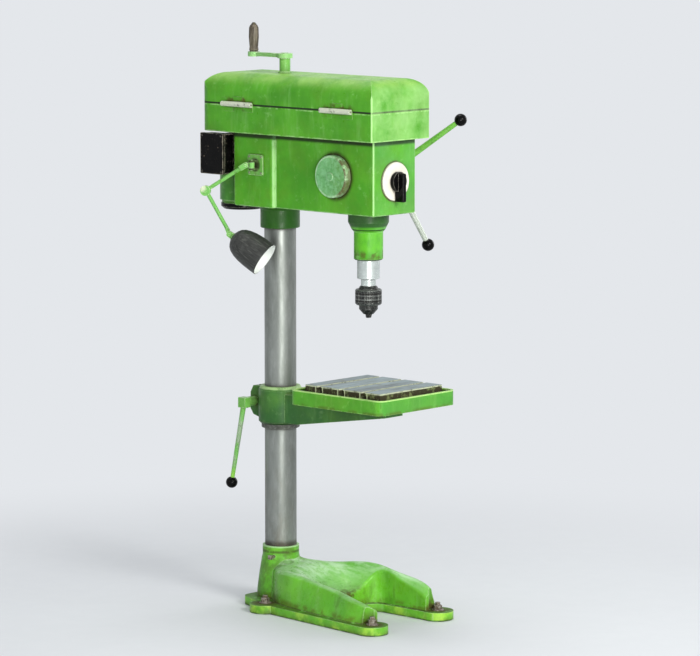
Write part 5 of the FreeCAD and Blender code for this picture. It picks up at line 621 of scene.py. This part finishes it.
MATERIALS = {
    "green_paint": lambda n: paint(n, *GREEN, head_marks),
    "base_paint": lambda n: paint(
        n, srgb(110, 190, 52), srgb(180, 224, 152), srgb(86, 164, 40), base_marks, 0.30, 0.75, 1.1, 0.005),
    "table_paint": lambda n: paint(
        n, srgb(92, 168, 44), srgb(180, 220, 132), srgb(72, 146, 34), table_marks, 0.34, 0.9, 0.9),
    "hood_paint": lambda n: paint(
        n, srgb(86, 166, 38), srgb(170, 216, 140), srgb(66, 142, 28), hood_marks, 0.34),
    "motor_paint": lambda n: paint(n, srgb(70, 138, 44), GREEN[1], srgb(50, 108, 32)),
    "light_paint": lambda n: small_paint(n, *LIGHT),
    "column_steel": lambda n: steel(
        n, srgb(140, 144, 139), srgb(178, 182, 177), srgb(116, 120, 115), 0.40, 0.85, ALONG_COLUMN, 0.4,
        column_marks),
    "bright_steel": lambda n: steel(
        n, srgb(206, 214, 210), srgb(238, 242, 240), srgb(178, 186, 182), 0.26, 0.75, TURNED, 0.3, grime=0.6),
    "hardware_steel": lambda n: steel(
        n, srgb(132, 122, 106), srgb(222, 216, 204), srgb(76, 60, 42), 0.38, 0.75, grime=0.9),
    "dark_steel": lambda n: steel(n, *CHUCK, srgb(34, 34, 34), 0.32, 0.7, spots=0.4, grime=0.5),
    "cast_grey": lambda n: steel(
        n, srgb(92, 94, 88), srgb(150, 152, 144), srgb(62, 63, 58), 0.5, 0.6, grime=0.7),
    "bearing_steel": lambda n: steel(n, srgb(190, 190, 192), srgb(225, 225, 228), srgb(150, 150, 152), 0.25),
    "spring_steel": lambda n: steel(n, srgb(78, 84, 104), srgb(120, 126, 150), srgb(50, 54, 70), 0.35),
    "pulley_alloy": lambda n: steel(
        n, srgb(182, 184, 186), srgb(214, 216, 218), srgb(146, 148, 150), 0.35, 1.0, TURNED_FINE),
    "black_plastic": lambda n: moulding(n, *BLACK, 0.16, 0.0026, 0.85, level=0.09),
    "white_enamel": lambda n: moulding(
        n, srgb(230, 226, 214), srgb(246, 244, 238), srgb(218, 212, 196), 0.30, grime=0.7),
    "grip_black": lambda n: moulding(
        n, srgb(88, 80, 68), srgb(170, 162, 146), srgb(66, 58, 48), 0.44, 0.002, 0.8, marks=grip_marks),
    "shade_metal": lambda n: moulding(
        n, srgb(58, 59, 57), srgb(130, 130, 126), srgb(46, 47, 45), 0.42, wear=0.7, marks=shade_marks),
    "bulb_glass": lambda n: moulding(n, srgb(240, 238, 230), srgb(250, 250, 248), srgb(232, 228, 216), 0.2),
}

# Nodes whose finish differs from the rest of their material slot by colour, wear, threads or marks.
SPECIAL = {
    "spring_housing": lambda n: paint(
        n, srgb(112, 176, 112), srgb(178, 216, 170), srgb(86, 150, 84), disc_marks, 0.4, 0.8),
    # The bracket's green is a darker copy of the table's: painted shade under the table.
    "table_bracket": lambda n: paint(
        n, srgb(58, 112, 48), srgb(156, 196, 128), srgb(40, 88, 34), bracket_marks, 0.40, 0.8),
    "clamp_lever": lambda n: small_paint(n, *LIGHT, lever_marks),
    "capstan_spokes": lambda n: small_paint(n, srgb(112, 184, 74), LIGHT[1], srgb(84, 150, 54), spoke_marks),
    "crank_arm": lambda n: small_paint(
        n, srgb(150, 202, 130), srgb(218, 236, 204), srgb(118, 176, 100), crank_marks),
    "crank_post": lambda n: small_paint(n, srgb(156, 206, 140), srgb(216, 236, 198), srgb(126, 182, 108)),
    "crank_bush": lambda n: small_paint(
        n, srgb(134, 196, 104), srgb(206, 232, 176), srgb(102, 166, 74), grime=0.9),
    "lamp_arm_lower": lambda n: small_paint(n, *LIGHT, lamp_marks),
    "lamp_arm_upper": lambda n: small_paint(n, *LIGHT, lamp_marks),
    "terminal_box": lambda n: moulding(n, *BLACK, 0.18, 0.003, 0.9, marks=box_marks, level=0.09),
    "lamp_plate": lambda n: small_paint(
        n, srgb(118, 186, 84), LIGHT[1], LIGHT[2], lamp_plate_marks, edge=0.0022),
    "depth_ring": lambda n: steel(
        n, srgb(186, 188, 184), srgb(214, 216, 212), srgb(160, 162, 158), 0.34, 0.5, spots=0.4,
        marks=ring_marks),
    "elevating_screw": lambda n: steel(
        n, srgb(176, 176, 172), srgb(220, 220, 216), srgb(120, 118, 112), 0.3, 0.9, grime=0.7, ridges=thread),
    "chuck_sleeve": lambda n: steel(
        n, *CHUCK, srgb(32, 32, 32), 0.32, 0.7, spots=0.4, marks=chuck_marks, grime=0.5, ridges=knurl),
    "drive_belt": lambda n: steel(
        n, srgb(32, 32, 32), srgb(60, 60, 60), srgb(22, 22, 22), 0.7, 0.0, spots=0.3, ridges=belt_ribs),
}


def dress_nodes():
    """Gives every CAD node its material, and returns the materials by slot."""
    made = {slot: make(slot) for slot, make in MATERIALS.items()}
    for part in frame["record"]["subparts"]:
        name = part["node"]
        mesh = NODES[name].data
        mesh.materials.clear()
        mesh.materials.append(SPECIAL[name](name) if name in SPECIAL else made[part["material_slot"]])
    return made


# ---------------------------------------------------------------- small pieces

def screw_head(name, place, facing, body, radius, finish):
    """A slotted pan head: a rounded disc with a slot cut across it, seated on a surface."""
    steps, arcs = 18, 10
    tall, half, floor = radius * 0.55, radius * 0.14, radius * 0.18
    crown = ((1.0, floor), (0.97, tall * 0.62), (0.80, tall * 0.9), (0.55, tall))
    turn = Vector(facing).normalized().to_track_quat("Z", "Y").to_matrix()
    mesh = bmesh.new()
    angles = [2 * pi * k / steps for k in range(steps)]
    lower = [mesh.verts.new((radius * cos(a), radius * sin(a), 0)) for a in angles]
    upper = [mesh.verts.new((v.co.x, v.co.y, floor)) for v in lower]
    for k in range(steps):
        mesh.faces.new((lower[k], lower[(k + 1) % steps], upper[(k + 1) % steps], upper[k]))
    mesh.faces.new(upper)
    mesh.faces.new(lower[::-1])
    start = sin(half / radius)
    rim = [start + (pi - 2 * start) * k / arcs for k in range(arcs + 1)]
    for sign in (-1, 1):
        def face(*corners):
            mesh.faces.new(corners if sign > 0 else corners[::-1])

        rings = []
        for share, high in crown:
            wide = radius * share
            arc = [(wide * cos(a), sign * max(half, wide * sin(a)), high) for a in rim]
            rings.append([mesh.verts.new(point) for point in arc])
        for a, b in zip(rings, rings[1:]):
            for k in range(arcs):
                face(a[k], a[k + 1], b[k + 1], b[k])
            face(a[0], b[0], b[-1], a[-1])
        face(*rings[-1])
    data = bpy.data.meshes.new(name)
    mesh.to_mesh(data)
    mesh.free()
    data.materials.append(made[finish])
    piece = bpy.data.objects.new(name, data)
    piece.matrix_world = Matrix.Translation(Vector(place)) @ turn.to_4x4()
    bpy.context.scene.collection.objects.link(piece)
    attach(piece, body)


def plate_screws(name, x, middle, half_wide, half_tall, radius, finish):
    """Four screws near the corners of a plate on the head's left side."""
    corners = [(y, z) for z in (-half_tall, half_tall) for y in (-half_wide, half_wide)]
    for k, (y, z) in enumerate(corners, start=1):
        screw_head(f"{name}_{k}", (x, middle[1] + y, middle[2] + z), (-1, 0, 0), "head", radius, finish)


def dial_numbers():
    """Numbers 0 to 80 round the depth ring, upright as seen from the capstan's side."""
    ring_x, ring_r = 0.1005, 0.0362
    for k in range(9):
        angle = radians(30.0 * k)
        out = Vector((0, -sin(angle), cos(angle)))
        right, up = Vector((0, cos(angle), sin(angle))), Vector((-1, 0, 0))
        text = bpy.data.curves.new(f"dial_number_{k}", "FONT")
        text.body, text.size, text.extrude = str(10 * k), 0.0062, 0.00006
        text.align_x, text.align_y = "CENTER", "CENTER"
        text.materials.append(made["black_plastic"])
        piece = bpy.data.objects.new(f"dial_number_{k}", text)
        piece.matrix_world = axes_at(right, up, out, Vector((ring_x, FEED_Y, FEED_Z)) + out * ring_r)
        bpy.context.scene.collection.objects.link(piece)
        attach(piece, "capstan")


# ---------------------------------------------------------------- stage

PALE = srgb(228, 231, 235)
LIT_R, PALE_R = 0.8, 2.6    # the floor shows its light and shadow out to one, and plain PALE past the other
FLOOR_HALF, FLOOR_DROP = 90.0, 0.0005


def make_floor():
    s = Shader("floor")
    tone = s.math("MULTIPLY", s.step(s.noise(1.2, 4.0, 0.5), 0.3, 0.7), 0.35)
    s.colour = s.mix(tone, srgb(219, 222, 226), srgb(225, 228, 232))
    s.dull = s.step(s.noise(14.0), 0.3, 0.7, 0.55, 0.7)
    s.finish(s.noise(90.0), 0.05, 0.0005)
    rays = s.add("LightPath").outputs
    seen = s.any_of(rays["Is Camera Ray"], rays["Is Glossy Ray"], rays["Is Transmission Ray"])
    near = s.reach((0, -0.2, 0), LIT_R, PALE_R, "z")
    plain = s.add("Emission", {"Color": PALE, "Strength": 1.0}).outputs[0]
    share = s.all_of(seen, s.math("SUBTRACT", 1.0, near))
    blend = s.add("MixShader", {0: share, 1: s.out.outputs[0], 2: plain})
    s.tree.links.new(blend.outputs[0], s.tree.nodes["Material Output"].inputs["Surface"])
    mesh = bpy.data.meshes.new("floor")
    half = FLOOR_HALF
    corners = [(-half, -half, 0), (half, -half, 0), (half, half, 0), (-half, half, 0)]
    mesh.from_pydata(corners, [], [(0, 1, 2, 3)])
    mesh.materials.append(s.material)
    floor = bpy.data.objects.new("floor", mesh)
    floor.location.z = -FLOOR_DROP
    bpy.context.scene.collection.objects.link(floor)


def make_world():
    """Soft light all round, shown as the same pale tone as the floor."""
    world = bpy.data.worlds.new("world")
    bpy.context.scene.world = world
    world.use_nodes = True
    tree = world.node_tree
    path = tree.nodes.new("ShaderNodeLightPath")
    seen = path.outputs["Is Camera Ray"]
    for ray in ("Is Glossy Ray", "Is Transmission Ray"):
        either = tree.nodes.new("ShaderNodeMath")
        either.operation = "MAXIMUM"
        tree.links.new(seen, either.inputs[0])
        tree.links.new(path.outputs[ray], either.inputs[1])
        seen = either.outputs[0]
    ambient = tree.nodes["Background"]
    ambient.inputs["Color"].default_value = (0.95, 0.98, 1.0, 1)
    ambient.inputs["Strength"].default_value = 0.28
    plain = tree.nodes.new("ShaderNodeBackground")
    plain.inputs["Color"].default_value = PALE
    pick = tree.nodes.new("ShaderNodeMixShader")
    tree.links.new(seen, pick.inputs[0])
    tree.links.new(ambient.outputs[0], pick.inputs[1])
    tree.links.new(plain.outputs[0], pick.inputs[2])
    tree.links.new(pick.outputs[0], tree.nodes["World Output"].inputs["Surface"])


make_camera()
make_floor()
make_world()
for light in LIGHTS:
    area_light(*light)
bpy.context.scene.view_settings.view_transform = "Standard"
made = dress_nodes()
plate_screws("lamp_plate_screw", -0.11695, LAMP_PLATE, 0.025, 0.025, 0.0034, "hardware_steel")
plate_screws("terminal_box_screw", -0.14795, BOX_MIDDLE, 0.041, 0.056, 0.0036, "black_plastic")
dial_numbers()
